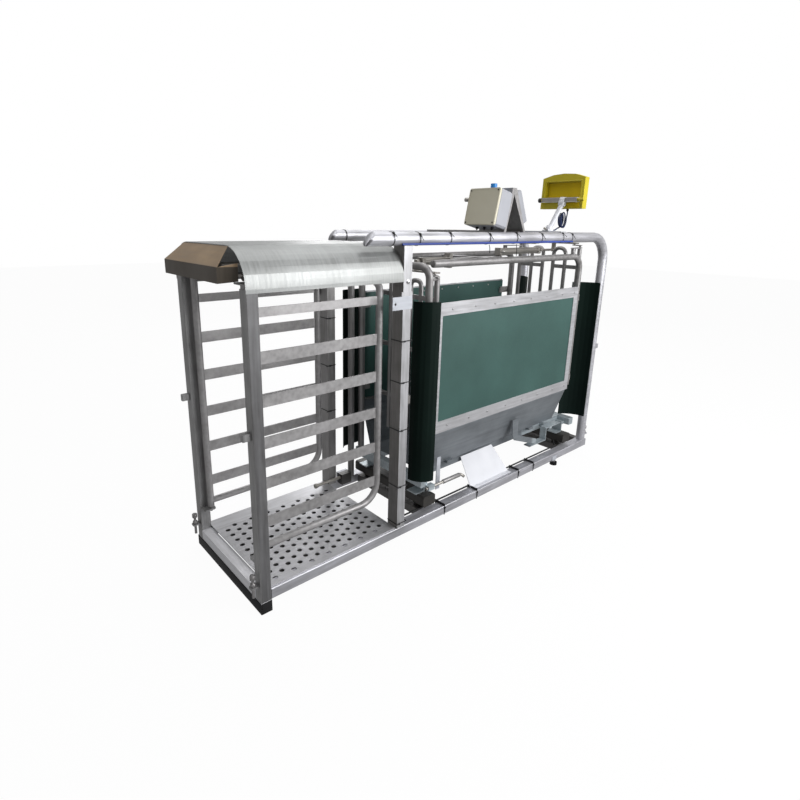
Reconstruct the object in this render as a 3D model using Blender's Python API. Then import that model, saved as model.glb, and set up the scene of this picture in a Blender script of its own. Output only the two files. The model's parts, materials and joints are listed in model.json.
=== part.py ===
"""Three-way drafting gate for small stock: a cage with two swinging side gates stands in front of a
weigh crate with double doors at both ends, all on one base of two long rails.
Metres; +X runs from the exit end to the entry end, Y from the near rail to the far rail, +Z up."""
import math

import bmesh
import bpy
from mathutils import Matrix, Vector

# driving dimensions
LENGTH = 2.63
WIDTH = 0.66
LUG_OUT = 0.045
VISOR_OUT = 0.070
GAP = 0.0003
# base
RAIL_BASE = 0.055
RAIL = 0.05
RAIL_WIDE = 0.06
FLOOR_THICK = 0.004
HOLE = 0.0105
HOLE_PITCH_X = 0.047
HOLE_PITCH_Y = 0.052
# drafting cage
CAGE = 0.762
POST = 0.05
POST_TOP = 1.360
CAP_TOP = 1.378
CRATE_POST_WIDE = 0.07
CRATE_POST_TOP = 1.5015
HOOD_TOP = 1.51
HOOD_BEND = 0.15
SHEET = 0.003
# spine tubes over the whole length
SPINE = 0.03
SPINE_Z = 1.53
SPINE_BEND = 0.15
# side gates
GATE_TUBE = 0.016
GATE_BASE = 0.265
GATE_TOP = 1.352
GATE_BEND = 0.10
SLAT = 0.05
SLATS = 6
# weigh crate
HOOP_X = CAGE + 0.238
CRATE_TUBE = 0.019
CRATE_Z = 1.41
TUBE_IN = 0.07
PANEL_BASE = 0.54
PANEL_TOP = 1.215
PANEL_IN = 0.034
TRAY_FLOOR = 0.30
BEARER_BASE = 0.238
LOAD_TOP = 0.185
LOAD_IN = 0.035
WING_BASE = 0.29
# doors of the crate
DOOR_IN = 0.105
DOOR_STILE = 0.014
DOOR_BASE = 0.42
STILE_BASE = 0.60
DOOR_CRANK = 0.09
DOOR_CRANK_ANGLE = 52.5
EXIT_DOOR_TOP = 1.326
ENTRY_DOOR_TOP = 1.455
PIN = 0.006
# controls
STAND_X = HOOP_X + 0.512
STAND_END = STAND_X + 0.188
STAND_TOP = 1.785

RAIL_TOP = RAIL_BASE + RAIL
FLOOR_Z = RAIL_TOP + GAP
MIDDLE = WIDTH / 2
CRATE_END = LENGTH - 0.245
ENTRY_LEG_X = LENGTH - SPINE
PANEL_START = HOOP_X + 0.035
PANEL_END = CRATE_END - 0.055
EXIT_HINGE_X = HOOP_X + 0.09
ENTRY_HINGE_X = CRATE_END + 0.045
GATE_X = POST - 0.005
GATE_Y = POST + 0.028
GATE_END = CAGE - 0.072
LOAD_EXIT_X = HOOP_X + 0.03
LOAD_ENTRY_X = CRATE_END + 0.025
BEARER_END = CRATE_END + 0.09
FOOT_X = CRATE_END - 0.12
STRAP_X = CRATE_END - 0.215
RAM_EXIT_Z = CRATE_Z - 0.01
RAM_ENTRY_Z = CRATE_Z + 0.03
RAM_EXIT_START = HOOP_X + 0.19
RAM_EXIT_END = HOOP_X + 0.4255
RAM_ENTRY_START = CRATE_END - 0.525
CARRIER_X = HOOP_X + 0.62
MID_POST_X = HOOP_X - 0.06
MID_POST_IN = 0.048
STEP_X = HOOP_X + 0.385
SHIFT = Vector((-(LENGTH + LUG_OUT - VISOR_OUT) / 2, -MIDDLE, 0.0))

FINISH = {
    "galvanised": ((0.52, 0.52, 0.54), 0.38, 1.0),
    "brushed_sheet": ((0.62, 0.62, 0.62), 0.32, 1.0),
    "dark_steel": ((0.07, 0.07, 0.07), 0.55, 0.4),
    "green_sheet": ((0.032, 0.085, 0.072), 0.45, 0.0),
    "dark_green_sheet": ((0.010, 0.028, 0.022), 0.45, 0.0),
    "cylinder_metal": ((0.48, 0.45, 0.42), 0.30, 1.0),
    "white_paint": ((0.80, 0.81, 0.84), 0.35, 0.0),
    "beige_case": ((0.52, 0.49, 0.42), 0.45, 0.0),
    "yellow_case": ((0.48, 0.44, 0.02), 0.40, 0.0),
    "blue_cable": ((0.02, 0.06, 0.32), 0.40, 0.0),
    "black_rubber": ((0.015, 0.015, 0.016), 0.60, 0.0),
}


def closed(bm):
    bm.normal_update()
    bmesh.ops.recalc_face_normals(bm, faces=bm.faces)
    return bm


def extrude(outline, axis, low, high):
    """Closed solid: a flat outline drawn out along one axis ('x': y,z  'y': x,z  'z': x,y)."""
    bm = bmesh.new()
    rings = []
    for level in (low, high):
        ring = []
        for a, b in outline:
            spot = {"x": (level, a, b), "y": (a, level, b), "z": (a, b, level)}[axis]
            ring.append(bm.verts.new(spot))
        rings.append(ring)
    count = len(outline)
    bm.faces.new(rings[0])
    bm.faces.new(list(reversed(rings[1])))
    for i in range(count):
        j = (i + 1) % count
        bm.faces.new((rings[0][i], rings[1][i], rings[1][j], rings[0][j]))
    return closed(bm)


def cut_corners(a0, a1, b0, b1, cut):
    return [(a0 + cut, b0), (a1 - cut, b0), (a1, b0 + cut), (a1, b1 - cut),
            (a1 - cut, b1), (a0 + cut, b1), (a0, b1 - cut), (a0, b0 + cut)]


def bar(axis, xs, ys, zs, cut=0.0):
    """Straight bar along one axis; a cut takes the four long corners off."""
    spans = {"x": (xs, ys, zs), "y": (ys, xs, zs), "z": (zs, xs, ys)}[axis]
    (low, high), (a0, a1), (b0, b1) = spans
    if cut > 0:
        outline = cut_corners(a0, a1, b0, b1, cut)
    else:
        outline = [(a0, b0), (a1, b0), (a1, b1), (a0, b1)]
    return extrude(outline, axis, low, high)


def rounded(corners, radius, steps=5):
    """The path through the corners with every inner corner turned into an arc."""
    corners = [Vector(c) for c in corners]
    path = [corners[0]]
    for before, corner, after in zip(corners, corners[1:], corners[2:]):
        one = (before - corner).normalized()
        two = (after - corner).normalized()
        angle = one.angle(two)
        start = corner + one * radius / math.tan(angle / 2)
        centre = corner + (one + two).normalized() * radius / math.sin(angle / 2)
        arm = start - centre
        axis = one.cross(two)
        for i in range(steps + 1):
            turn = Matrix.Rotation(-(math.pi - angle) * i / steps, 3, axis)
            path.append(centre + turn @ arm)
    path.append(corners[-1])
    return path


def pipe(path, radius, sides=12, first=None, last=None):
    """Round tube along a path, mitred at every point; first and last tilt the end faces."""
    path = [Vector(p) for p in path]
    bm = bmesh.new()
    way = (path[1] - path[0]).normalized()
    side = way.cross(Vector((0, 0, 1)))
    if side.length < 0.1:
        side = Vector((0, 1, 0))
    side.normalize()
    up = side.cross(way)
    spots = []
    for i in range(sides):
        turn = 2 * math.pi * (i + 0.5) / sides
        spots.append(path[0] + radius * (math.cos(turn) * side + math.sin(turn) * up))
    rings = []
    for k, point in enumerate(path):
        along = (path[max(k, 1)] - path[max(k, 1) - 1]).normalized()
        after = (path[min(k + 1, len(path) - 1)] - path[min(k, len(path) - 2)]).normalized()
        normal = (along + after).normalized()
        if k == 0 and first:
            normal = Vector(first).normalized()
        if k == len(path) - 1 and last:
            normal = Vector(last).normalized()
        spots = [s + along * ((point - s).dot(normal) / along.dot(normal)) for s in spots]
        rings.append([bm.verts.new(s) for s in spots])
    for one, two in zip(rings, rings[1:]):
        for i in range(sides):
            j = (i + 1) % sides
            bm.faces.new((one[i], one[j], two[j], two[i]))
    bm.faces.new(rings[0])
    bm.faces.new(rings[-1])
    return closed(bm)


def rod(start, end, radius, sides=12):
    return pipe([start, end], radius, sides)


def folded(line, thick, axis, low, high):
    """Sheet metal: a drawn line given a thickness to its left and drawn out along an axis."""
    line = [Vector((a, b)) for a, b in line]
    inner = []
    for k, point in enumerate(line):
        before = (point - line[k - 1]).normalized() if k else (line[1] - point).normalized()
        after = (line[k + 1] - point).normalized() if k + 1 < len(line) else before
        mid = (before + after).normalized()
        left = Vector((-mid.y, mid.x))
        inner.append(point + left * thick / mid.dot(before))
    outline = [tuple(p) for p in line] + [tuple(p) for p in reversed(inner)]
    return extrude(outline, axis, low, high)


def arc(centre, radius, start, end, steps):
    """Points on an arc, angles in degrees."""
    points = []
    for i in range(steps + 1):
        turn = math.radians(start + (end - start) * i / steps)
        points.append((centre[0] + radius * math.cos(turn), centre[1] + radius * math.sin(turn)))
    return points


def stadium(one, two, half, steps=4):
    """Outline of a flat link with round ends about two points."""
    way = Vector(two) - Vector(one)
    heading = math.degrees(math.atan2(way.y, way.x))
    points = arc(one, half, heading + 90, heading + 270, steps)
    points += arc(two, half, heading - 90, heading + 90, steps)
    return points


def flip(bm):
    """The same solid mirrored to the other side of the gate."""
    for vert in bm.verts:
        vert.co.y = WIDTH - vert.co.y
    bmesh.ops.reverse_faces(bm, faces=bm.faces)
    bm.normal_update()
    return bm


def thing(name, bm):
    mesh = bpy.data.meshes.new(name)
    bm.to_mesh(mesh)
    bm.free()
    obj = bpy.data.objects.new(name, mesh)
    bpy.context.collection.objects.link(obj)
    return obj


def drop(obj):
    mesh = obj.data
    bpy.data.objects.remove(obj)
    bpy.data.meshes.remove(mesh)


def join(name, solids, cuts=()):
    """One closed body: the solids welded together, then the cuts taken out."""
    base = thing(name, solids[0])
    others = []
    for kind, group in (("UNION", solids[1:]), ("DIFFERENCE", cuts)):
        for solid in group:
            other = thing(name + "_part", solid)
            other.hide_render = True
            other.display_type = "WIRE"
            step = base.modifiers.new("step", "BOOLEAN")
            step.operation = kind
            step.solver = "EXACT"
            step.object = other
            others.append(other)
    if others:
        bpy.context.view_layer.update()
        result = base.evaluated_get(bpy.context.evaluated_depsgraph_get())
        mesh = bpy.data.meshes.new_from_object(result)
        plain = base.data
        base.modifiers.clear()
        base.data = mesh
        bpy.data.meshes.remove(plain)
        for other in others:
            drop(other)
        bm = bmesh.new()
        bm.from_mesh(mesh)
        bmesh.ops.remove_doubles(bm, verts=bm.verts, dist=0.00002)
        bmesh.ops.dissolve_limit(bm, angle_limit=0.0005, verts=bm.verts, edges=bm.edges)
        bm.to_mesh(mesh)
        bm.free()
    return base


def paint(obj, finish):
    colour, rough, metal = FINISH[finish]
    material = bpy.data.materials.new(obj.name + "_" + finish)
    material.use_nodes = True
    shader = material.node_tree.nodes["Principled BSDF"]
    shader.inputs["Base Color"].default_value = (*colour, 1.0)
    shader.inputs["Roughness"].default_value = rough
    shader.inputs["Metallic"].default_value = metal
    obj.data.materials.clear()
    obj.data.materials.append(material)


def make(name, finish, solids, cuts=(), pivot=(0.0, 0.0, 0.0), parent=None):
    """Finished sub-part; its origin lies on the pivot."""
    obj = join(name, solids, cuts)
    pivot = Vector(pivot)
    obj.data.transform(Matrix.Translation(-pivot))
    obj.data.shade_smooth()
    obj.data.set_sharp_from_angle(angle=math.radians(35))
    obj.location = pivot + SHIFT
    if parent is not None:
        obj.location = pivot - parent["pivot"]
        obj.parent = parent["object"]
    paint(obj, finish)
    return {"object": obj, "pivot": pivot}


def sides(name, finish, build, pivot=None, parent=None):
    """A near piece and its mirrored twin on the far side; both results are returned."""
    made = []
    for side in ("near", "far"):
        solids, cuts = build()
        place = Vector(pivot) if pivot else Vector((0, 0, 0))
        if side == "far":
            solids = [flip(s) for s in solids]
            cuts = [flip(c) for c in cuts]
            if pivot:
                place.y = WIDTH - place.y
        made.append(make(name + "_" + side, finish, solids, cuts, place, parent))
    return made


# base frame

def base():
    rails = []
    for y0 in (0.0, WIDTH - RAIL_WIDE):
        rails.append(bar("x", (POST + GAP, LENGTH), (y0, y0 + RAIL_WIDE), (RAIL_BASE, RAIL_TOP),
                         0.003))
    inner = (RAIL_WIDE - 0.01, WIDTH - RAIL_WIDE + 0.01)
    for centre, half in ((LOAD_EXIT_X, 0.05), (LOAD_ENTRY_X, 0.05), (LENGTH - 0.027, 0.025)):
        rails.append(bar("y", (centre - half, centre + half), inner,
                         (RAIL_BASE + 0.001, RAIL_TOP - 0.001), 0.003))
    guide_y = WIDTH - 0.085
    rails.append(bar("x", (CAGE + 0.068, CAGE + 0.138), (guide_y - 0.020, WIDTH - MID_POST_IN),
                     (RAIL_TOP - 0.006, 0.162), 0.0))
    bore = rod((CAGE + 0.05, guide_y, 0.140), (CAGE + 0.15, guide_y, 0.140), 0.0098, 14)
    make("base_frame", "galvanised", rails, [bore])
    sill = RAIL_TOP - 0.005
    post = POST + GAP
    outline = [(0, 0), (WIDTH, 0), (WIDTH, RAIL_BASE), (WIDTH - post, RAIL_BASE),
               (WIDTH - post, sill), (post, sill), (post, RAIL_BASE), (0, RAIL_BASE)]
    make("exit_beam", "galvanised", [extrude(outline, "x", 0, POST)])

    def foot():
        x, y = FOOT_X, RAIL_WIDE / 2
        pad = rod((x, y, 0), (x, y, 0.02), 0.024, 14)
        stem = rod((x, y, 0.015), (x, y, RAIL_BASE - GAP), 0.009, 10)
        return [pad, stem], []
    sides("foot", "black_rubber", foot)


def cage_floor():
    plate = bar("x", (POST + GAP, CAGE - GAP), (0.01, WIDTH - 0.01),
                (FLOOR_Z, FLOOR_Z + FLOOR_THICK))
    holes = bmesh.new()
    x = POST + 0.046
    column = 0
    while x < CAGE - 0.03:
        y = 0.05 + (HOLE_PITCH_Y / 2 if column % 2 else 0)
        while y < WIDTH - 0.04:
            bmesh.ops.create_cone(holes, cap_ends=True, segments=6, radius1=HOLE, radius2=HOLE,
                                  depth=0.02, matrix=Matrix.Translation((x, y, FLOOR_Z)))
            y += HOLE_PITCH_Y
        x += HOLE_PITCH_X
        column += 1
    make("cage_floor", "brushed_sheet", [plate], [closed(holes)])


# drafting cage

def lug(x0, x1, y, z, tall=0.03):
    return bar("z", (x0, x1), (y - 0.011, y + 0.011), (z - tall / 2, z + tall / 2), 0.003)


def exit_post():
    """Square post with a raised cap plate and a foot plate that hold the gate's two pins."""
    solids = [bar("z", (0, POST), (0, POST), (RAIL_BASE + GAP, POST_TOP), 0.003),
              bar("z", (0.004, POST - 0.004), (0.006, POST - 0.004), (POST_TOP - 0.01, CAP_TOP - 0.002))]
    cap = cut_corners(0.003, POST + 0.018, 0.005, GATE_Y + 0.022, 0.004)
    solids.append(extrude(cap, "z", CAP_TOP - 0.006, CAP_TOP))
    arm = cut_corners(0.004, POST + 0.012, POST - 0.004, GATE_Y + 0.020, 0.006)
    solids.append(extrude(arm, "z", GATE_BASE - 0.044, GATE_BASE - 0.036))
    cuts = []
    for z in (CAP_TOP, GATE_BASE - 0.04):
        cuts.append(rod((GATE_X, GATE_Y, z - 0.02), (GATE_X, GATE_Y, z + 0.02), PIN + 0.0008, 14))
    solids.append(lug(-0.035, 0.003, POST / 2, 0.80))
    solids.append(bar("z", (-0.036, 0.003), (POST / 2 - 0.014, POST / 2 + 0.014),
                      (0.129, 0.137), 0.004))
    cuts.append(rod((-0.022, POST / 2, 0.11), (-0.022, POST / 2, 0.15), 0.0068, 14))
    return solids, cuts


def saddle_post(x0, x1, y0, y1, low, top):
    """Post whose top is hollowed out to the round of the spine tube over it."""
    reach = SPINE + GAP
    half = math.sqrt(reach ** 2 - (SPINE_Z - top) ** 2)
    bow = math.degrees(math.asin(half / reach))
    outline = [(y0, low), (y1, low), (y1, top)]
    outline += arc((SPINE, SPINE_Z), reach, 270 + bow, 270 - bow, 4)
    outline.append((y0, top))
    return extrude(outline, "x", x0, x1)


def crate_post():
    solids = [saddle_post(CAGE, CAGE + POST, 0, CRATE_POST_WIDE, FLOOR_Z, CRATE_POST_TOP)]
    solids.append(bar("x", (CAGE - 0.012, CAGE + POST + 0.004), (-0.0028, 0.004),
                      (1.222, 1.300), 0.0))
    solids.append(lug(CAGE + POST - 0.004, CAGE + POST + 0.024, 0.018, 0.78, 0.04))
    return solids, []


def hood_line(inset):
    """Cross-section of the hood: skirt, bend, flat top, bend, skirt (y, z)."""
    centre = HOOD_BEND - 0.003
    radius = HOOD_BEND - inset
    top = HOOD_TOP - HOOD_BEND
    line = [(-0.003 + inset, top - 0.015)]
    line += arc((centre, top), radius, 180, 90, 9)
    line += arc((WIDTH - centre, top), radius, 90, 0, 9)
    line.append((WIDTH + 0.003 - inset, top - 0.015))
    return line


def hood():
    outline = hood_line(0.0) + list(reversed(hood_line(SHEET - GAP)))
    make("hood", "brushed_sheet", [extrude(outline, "x", 0, CAGE - 0.0005)])


def visor():
    """Bent sheet in front of the hood: slope, lip and two slanting ears."""
    x = -GAP
    front = -VISOR_OUT + SHEET
    t = SHEET
    bm = bmesh.new()
    half_top, half_low = MIDDLE - 0.118, MIDDLE - 0.070
    rows = []
    for inset in (0.0, t):
        points = []
        for side in (-1, 1):
            points.append([
                (x, MIDDLE + side * (half_top - inset), HOOD_TOP - 0.004 - inset * 1.4),
                (front - t + inset, MIDDLE + side * (half_low - inset), HOOD_TOP - 0.073 - inset * 0.5),
                (front - t + inset, MIDDLE + side * (half_low - inset), HOOD_TOP - 0.131),
                (x, MIDDLE + side * (half_low + 0.022 - inset), HOOD_TOP - 0.125),
                (x, MIDDLE + side * (half_low + 0.022 - inset), HOOD_TOP - 0.060 - inset),
            ])
        rows.append([[bm.verts.new(p) for p in side] for side in points])
    (oa, ob), (ia, ib) = rows
    for a, b, flat in ((oa, ob, False), (ia, ib, True)):
        bm.faces.new((a[0], a[1], b[1], b[0]))
        bm.faces.new((a[1], a[2], b[2], b[1]))
        for s in (a, b):
            bm.faces.new((s[1], s[2], s[3], s[4]))
    rim = [oa[0], oa[1], oa[4], oa[3], oa[2], ob[2], ob[3], ob[4], ob[1], ob[0]]
    inner = [ia[0], ia[1], ia[4], ia[3], ia[2], ib[2], ib[3], ib[4], ib[1], ib[0]]
    for k in range(len(rim)):
        n = (k + 1) % len(rim)
        bm.faces.new((rim[k], rim[n], inner[n], inner[k]))
    make("visor", "brushed_sheet", [closed(bm)])


def cage():
    sides("exit_post", "galvanised", exit_post)
    sides("crate_post", "galvanised", crate_post)
    hood()
    visor()
    inner = (CRATE_POST_WIDE + GAP, WIDTH - CRATE_POST_WIDE - GAP)
    make("portal_beam", "galvanised",
         [bar("y", (CAGE, CAGE + POST), inner, (HOOD_TOP - 0.11, HOOD_TOP - 0.06), 0.003)])
    y = WIDTH - MID_POST_IN
    make("mid_post_far", "galvanised",
         [rod((MID_POST_X, y, FLOOR_Z), (MID_POST_X, y, SPINE_Z - SPINE - 0.004), 0.019, 12)])


def spine():
    for side, start in (("near", CAGE - 0.177), ("far", CAGE + 0.068)):
        path = rounded([(start, SPINE, SPINE_Z), (ENTRY_LEG_X, SPINE, SPINE_Z),
                        (ENTRY_LEG_X, SPINE, FLOOR_Z)], SPINE_BEND, 7)
        tube = pipe(path, SPINE, 14, first=(1, 0, -0.7))
        solids = [tube]
        solids.append(lug(LENGTH - 0.006, LENGTH + LUG_OUT, SPINE, 0.79))
        solids.append(bar("z", (LENGTH - 0.008, LENGTH + LUG_OUT - 0.003),
                          (SPINE - 0.014, SPINE + 0.014), (0.129, 0.137), 0.004))
        cuts = [rod((LENGTH + 0.024, SPINE, 0.11), (LENGTH + 0.024, SPINE, 0.15), 0.0068, 14)]
        if side == "far":
            solids = [flip(s) for s in solids]
            cuts = [flip(c) for c in cuts]
        make("spine_tube_" + side, "galvanised", solids, cuts)


# side gates

def gate():
    stile = rod((GATE_X, GATE_Y, GATE_BASE - 0.030), (GATE_X, GATE_Y, CAP_TOP - 0.009),
                GATE_TUBE, 12)
    path = [(GATE_X, GATE_Y, GATE_TOP - 0.001), (GATE_END, GATE_Y, GATE_TOP - 0.001),
            (GATE_END, GATE_Y, GATE_BASE), (GATE_X, GATE_Y, GATE_BASE)]
    solids = [stile, pipe(rounded(path[:3], 0.05, 4)[:-1] + rounded(path[1:], GATE_BEND, 6)[1:],
                          GATE_TUBE, 12)]
    top, bottom = 1.262, 0.373
    for i in range(SLATS):
        z = top + (bottom - top) * i / (SLATS - 1)
        half = 0.0185 if i == 0 else SLAT / 2
        solids.append(bar("x", (GATE_X + 0.004, GATE_END - 0.004),
                          (GATE_Y - 0.003, GATE_Y + 0.003), (z - half, z + half)))
    pin = (GATE_X + 0.1 * math.cos(math.radians(67.5)), GATE_Y + 0.1 * math.sin(math.radians(67.5)))
    deck = CAP_TOP + 0.004
    solids.append(rod((GATE_X, GATE_Y, CAP_TOP - 0.02), (GATE_X, GATE_Y, deck + 0.002), PIN, 12))
    solids.append(rod((GATE_X, GATE_Y, GATE_BASE - 0.056), (GATE_X, GATE_Y, GATE_BASE - 0.02),
                      PIN, 12))
    solids.append(extrude(stadium((GATE_X, GATE_Y), pin, 0.014), "z", deck, deck + 0.006))
    solids.append(rod((pin[0], pin[1], deck + 0.003), (pin[0], pin[1], deck + 0.024), PIN, 12))
    return solids, []


def yoke():
    """Slotted plate on the rod that pushes the gate's crank."""
    x = GATE_X + 0.1 * math.cos(math.radians(67.5))
    z = CAP_TOP + 0.013
    plate = bar("x", (x - 0.022, x + 0.050), (0.140, 0.206), (z, z + 0.008), 0.0)
    riser = bar("z", (x + 0.030, x + 0.048), (0.162, 0.186), (z + 0.004, z + 0.038), 0.003)
    shaft = rod((x + 0.040, 0.174, z + 0.024), (CAGE - 0.202, 0.174, z + 0.024), 0.008, 12)
    slot = extrude(stadium((x, 0.161), (x, 0.187), 0.0075), "z", z - 0.01, z + 0.02)
    return [plate, riser, shaft], [slot]


def cylinder(front, back, y, z, radius, open_end, depth, bore=0.0095, plate=0.0):
    """Tie-rod cylinder along X: barrel, two square heads, four thin rods, an open bore."""
    head = radius + 0.004
    low, high = min(front, back), max(front, back)
    solids = [rod((low + 0.01, y, z), (high - 0.01, y, z), radius - 0.002, 14)]
    for x0, x1, grow in ((low, low + 0.022, 0.0), (high - 0.022, high, plate)):
        solids.append(bar("x", (x0, x1), (y - head, y + head),
                          (z - head - grow, z + head + grow), 0.004))
    for a in (-1, 1):
        for b in (-1, 1):
            off = head - 0.005
            solids.append(rod((low + 0.01, y + a * off, z + b * off),
                              (high - 0.01, y + a * off, z + b * off), 0.0025, 6))
    end = open_end
    deep = end + depth if end < (low + high) / 2 else end - depth
    out = end - 0.01 if end < (low + high) / 2 else end + 0.01
    return solids, [rod((out, y, z), (deep, y, z), bore, 14)]


def gates():
    sides("gate", "galvanised", gate, pivot=(GATE_X, GATE_Y, GATE_BASE))
    x = GATE_X + 0.1 * math.cos(math.radians(67.5))
    z = CAP_TOP + 0.037
    sides("gate_yoke", "cylinder_metal", yoke, pivot=(x, 0.174, z))
    sides("gate_ram", "cylinder_metal",
          lambda: cylinder(CAGE - 0.342, CAGE - GAP, 0.174, z, 0.020, CAGE - 0.342, 0.20))


# weigh crate

def panel():
    """Green side sheet."""
    y0, y1 = PANEL_IN, PANEL_IN + 0.008
    sheet = bar("x", (PANEL_START, PANEL_END), (y0, y1), (PANEL_BASE, PANEL_TOP), 0.0)
    return [sheet], []


def trim():
    """Flat metal edging on the outer face of a side sheet, with one clear opening."""
    y0, y1 = PANEL_IN - SHEET - GAP, PANEL_IN - GAP
    x0, x1 = PANEL_START - 0.002, PANEL_END + 0.004
    frame = bar("x", (x0, x1), (y0, y1), (PANEL_BASE - 0.005, PANEL_TOP + 0.008))
    hole = bar("x", (x0 + 0.030, x1 - 0.045), (y0 - 0.01, y1 + 0.01),
               (PANEL_BASE + 0.060, PANEL_TOP - 0.057))
    return [frame], [hole]


def tray():
    y = PANEL_IN + 0.008 + GAP
    low = TRAY_FLOOR
    line = [(y, 0.580), (y, 0.520), (0.115, low), (WIDTH - 0.115, low), (WIDTH - y, 0.520),
            (WIDTH - y, 0.580)]
    skin = folded(line, 0.0025, "x", PANEL_START, PANEL_END - 0.004)
    lips = []
    for x0 in (PANEL_START + 0.20, PANEL_END - 0.30):
        lips.append(bar("y", (x0, x0 + 0.05), (0.10, WIDTH - 0.10), (low - 0.012, low + 0.002)))
    make("crate_tray", "brushed_sheet", [skin] + lips)


def bearers():
    """Two long bearers, two cross members and the stepped brackets down to the load bars."""
    low, high = BEARER_BASE, TRAY_FLOOR - 0.012 - GAP
    solids = []
    for x in (HOOP_X, BEARER_END):
        solids.append(bar("y", (x - 0.025, x + 0.025), (0.05, WIDTH - 0.05), (low, high), 0.003))
    for y in (0.165, WIDTH - 0.165):
        solids.append(bar("x", (HOOP_X, BEARER_END), (y - 0.025, y + 0.025),
                          (low + 0.001, high - 0.001), 0.003))
    for x in (LOAD_EXIT_X, LOAD_ENTRY_X):
        for y in (0.12, WIDTH - 0.12):
            line = [(x - 0.055, LOAD_TOP + GAP), (x + 0.012, LOAD_TOP + GAP), (x + 0.012, low + 0.004),
                    (x + 0.050, low + 0.004)]
            bracket = folded(line, 0.006, "y", y - 0.035, y + 0.035)
            solids.append(bracket)
            solids.append(bar("x", (x + 0.006, x + 0.05), (y - 0.035, y + 0.05),
                              (low + 0.002, low + 0.02)))
    # cranked strap under the near side, and the cut plate that stiffens it
    x = STRAP_X
    line = [(x + 0.17, high - 0.003), (x, high - 0.003), (x, LOAD_TOP + 0.015),
            (x - 0.18, LOAD_TOP + 0.015)]
    solids.append(folded(line, 0.006, "y", 0.055, 0.100))
    solids.append(bar("y", (x + 0.05, x + 0.08), (0.06, 0.15), (high - 0.025, high - 0.004)))
    plate = [(x - 0.395, 0.430), (x - 0.385, 0.330), (x - 0.360, 0.290), (x - 0.110, LOAD_TOP + 0.012),
             (x - 0.110, LOAD_TOP + 0.050), (x - 0.325, 0.315), (x - 0.335, 0.430)]
    solids.append(extrude(plate, "y", 0.056, 0.061))
    solids.append(bar("x", (HOOP_X + 0.015, HOOP_X + 0.06), (0.028, 0.060), (0.216, 0.2445)))
    bore = rod((HOOP_X - 0.04, 0.040, 0.2295), (HOOP_X + 0.08, 0.040, 0.2295), 0.0088, 14)
    make("crate_bearers", "galvanised", solids, [bore])


def load_bars():
    for name, x in (("load_bar_exit", LOAD_EXIT_X), ("load_bar_entry", LOAD_ENTRY_X)):
        beam = bar("y", (x - 0.045, x + 0.045), (LOAD_IN, WIDTH - LOAD_IN),
                   (LOAD_TOP - 0.06, LOAD_TOP), 0.008)
        solids = [beam]
        for y in (0.115, WIDTH - 0.115):
            solids.append(rod((x, y, RAIL_TOP + GAP), (x, y, LOAD_TOP - 0.055), 0.026, 12))
        make(name, "dark_steel", solids)


def crate_tube():
    r = CRATE_TUBE
    start = HOOP_X + r + GAP
    path = rounded([(start, TUBE_IN, CRATE_Z), (CRATE_END, TUBE_IN, CRATE_Z),
                    (CRATE_END, TUBE_IN, STILE_BASE - 0.05)], 0.08, 6)
    solids = [pipe(path, r, 12)]
    y = PANEL_IN + 0.008 + GAP
    for z in (0.61, 1.15):
        solids.append(bar("x", (PANEL_END - 0.04, CRATE_END - 0.006), (y, y + 0.016),
                          (z - 0.02, z + 0.02)))
    hinge = (ENTRY_HINGE_X, DOOR_IN)
    deck = ENTRY_DOOR_TOP + 0.004
    tower = bar("z", (CRATE_END - 0.105, CRATE_END - 0.085), (TUBE_IN - 0.010, TUBE_IN + 0.010),
                (CRATE_Z, deck + 0.005), 0.0)
    arm = extrude(stadium((CRATE_END - 0.095, TUBE_IN + 0.003), hinge, 0.015), "z", deck, deck + 0.006)
    foot = extrude(stadium((CRATE_END, TUBE_IN), hinge, 0.015), "z", STILE_BASE - 0.010,
                   STILE_BASE - 0.004)
    solids += [tower, arm, foot]
    cuts = [rod((hinge[0], hinge[1], z - 0.02), (hinge[0], hinge[1], z + 0.02), PIN + 0.0008, 14)
            for z in (deck, STILE_BASE - 0.008)]
    return solids, cuts


def exit_hoop():
    r = CRATE_TUBE
    top = CRATE_Z - 0.015
    path = rounded([(HOOP_X, TUBE_IN, TRAY_FLOOR - 0.012), (HOOP_X, TUBE_IN, top),
                    (HOOP_X, WIDTH - TUBE_IN, top), (HOOP_X, WIDTH - TUBE_IN, TRAY_FLOOR - 0.012)],
                   0.06, 5)
    solids = [pipe(path, r, 12)]
    cuts = []
    y = PANEL_IN + 0.008 + GAP
    for z in (0.66, 1.15):
        for side in (0, 1):
            tab = bar("x", (HOOP_X, PANEL_START + 0.04), (y, y + 0.016), (z - 0.02, z + 0.02))
            solids.append(flip(tab) if side else tab)
    for z in (EXIT_DOOR_TOP + 0.003, STILE_BASE - 0.010):
        for side in (0, 1):
            y1 = WIDTH - DOOR_IN if side else DOOR_IN
            y0 = WIDTH - TUBE_IN if side else TUBE_IN
            solids.append(extrude(stadium((HOOP_X, y0), (EXIT_HINGE_X, y1), 0.015), "z",
                                  z, z + 0.006))
            cuts.append(rod((EXIT_HINGE_X, y1, z - 0.02), (EXIT_HINGE_X, y1, z + 0.02),
                            PIN + 0.0008, 14))
    make("crate_exit_hoop", "galvanised", solids, cuts)


def carrier():
    """Cross bar between the long tubes with a spine bar that the two door rams bolt to."""
    y = TUBE_IN + CRATE_TUBE + GAP
    z = CRATE_Z
    cross = bar("y", (CARRIER_X, CARRIER_X + 0.04), (y, WIDTH - y), (z - 0.019, z + 0.005), 0.002)
    long = bar("x", (RAM_EXIT_END + GAP, RAM_ENTRY_START + 0.025),
               (MIDDLE - 0.02, MIDDLE + 0.02), (z - 0.019, z + 0.002), 0.002)
    make("ram_carrier", "galvanised", [cross, long])


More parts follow.
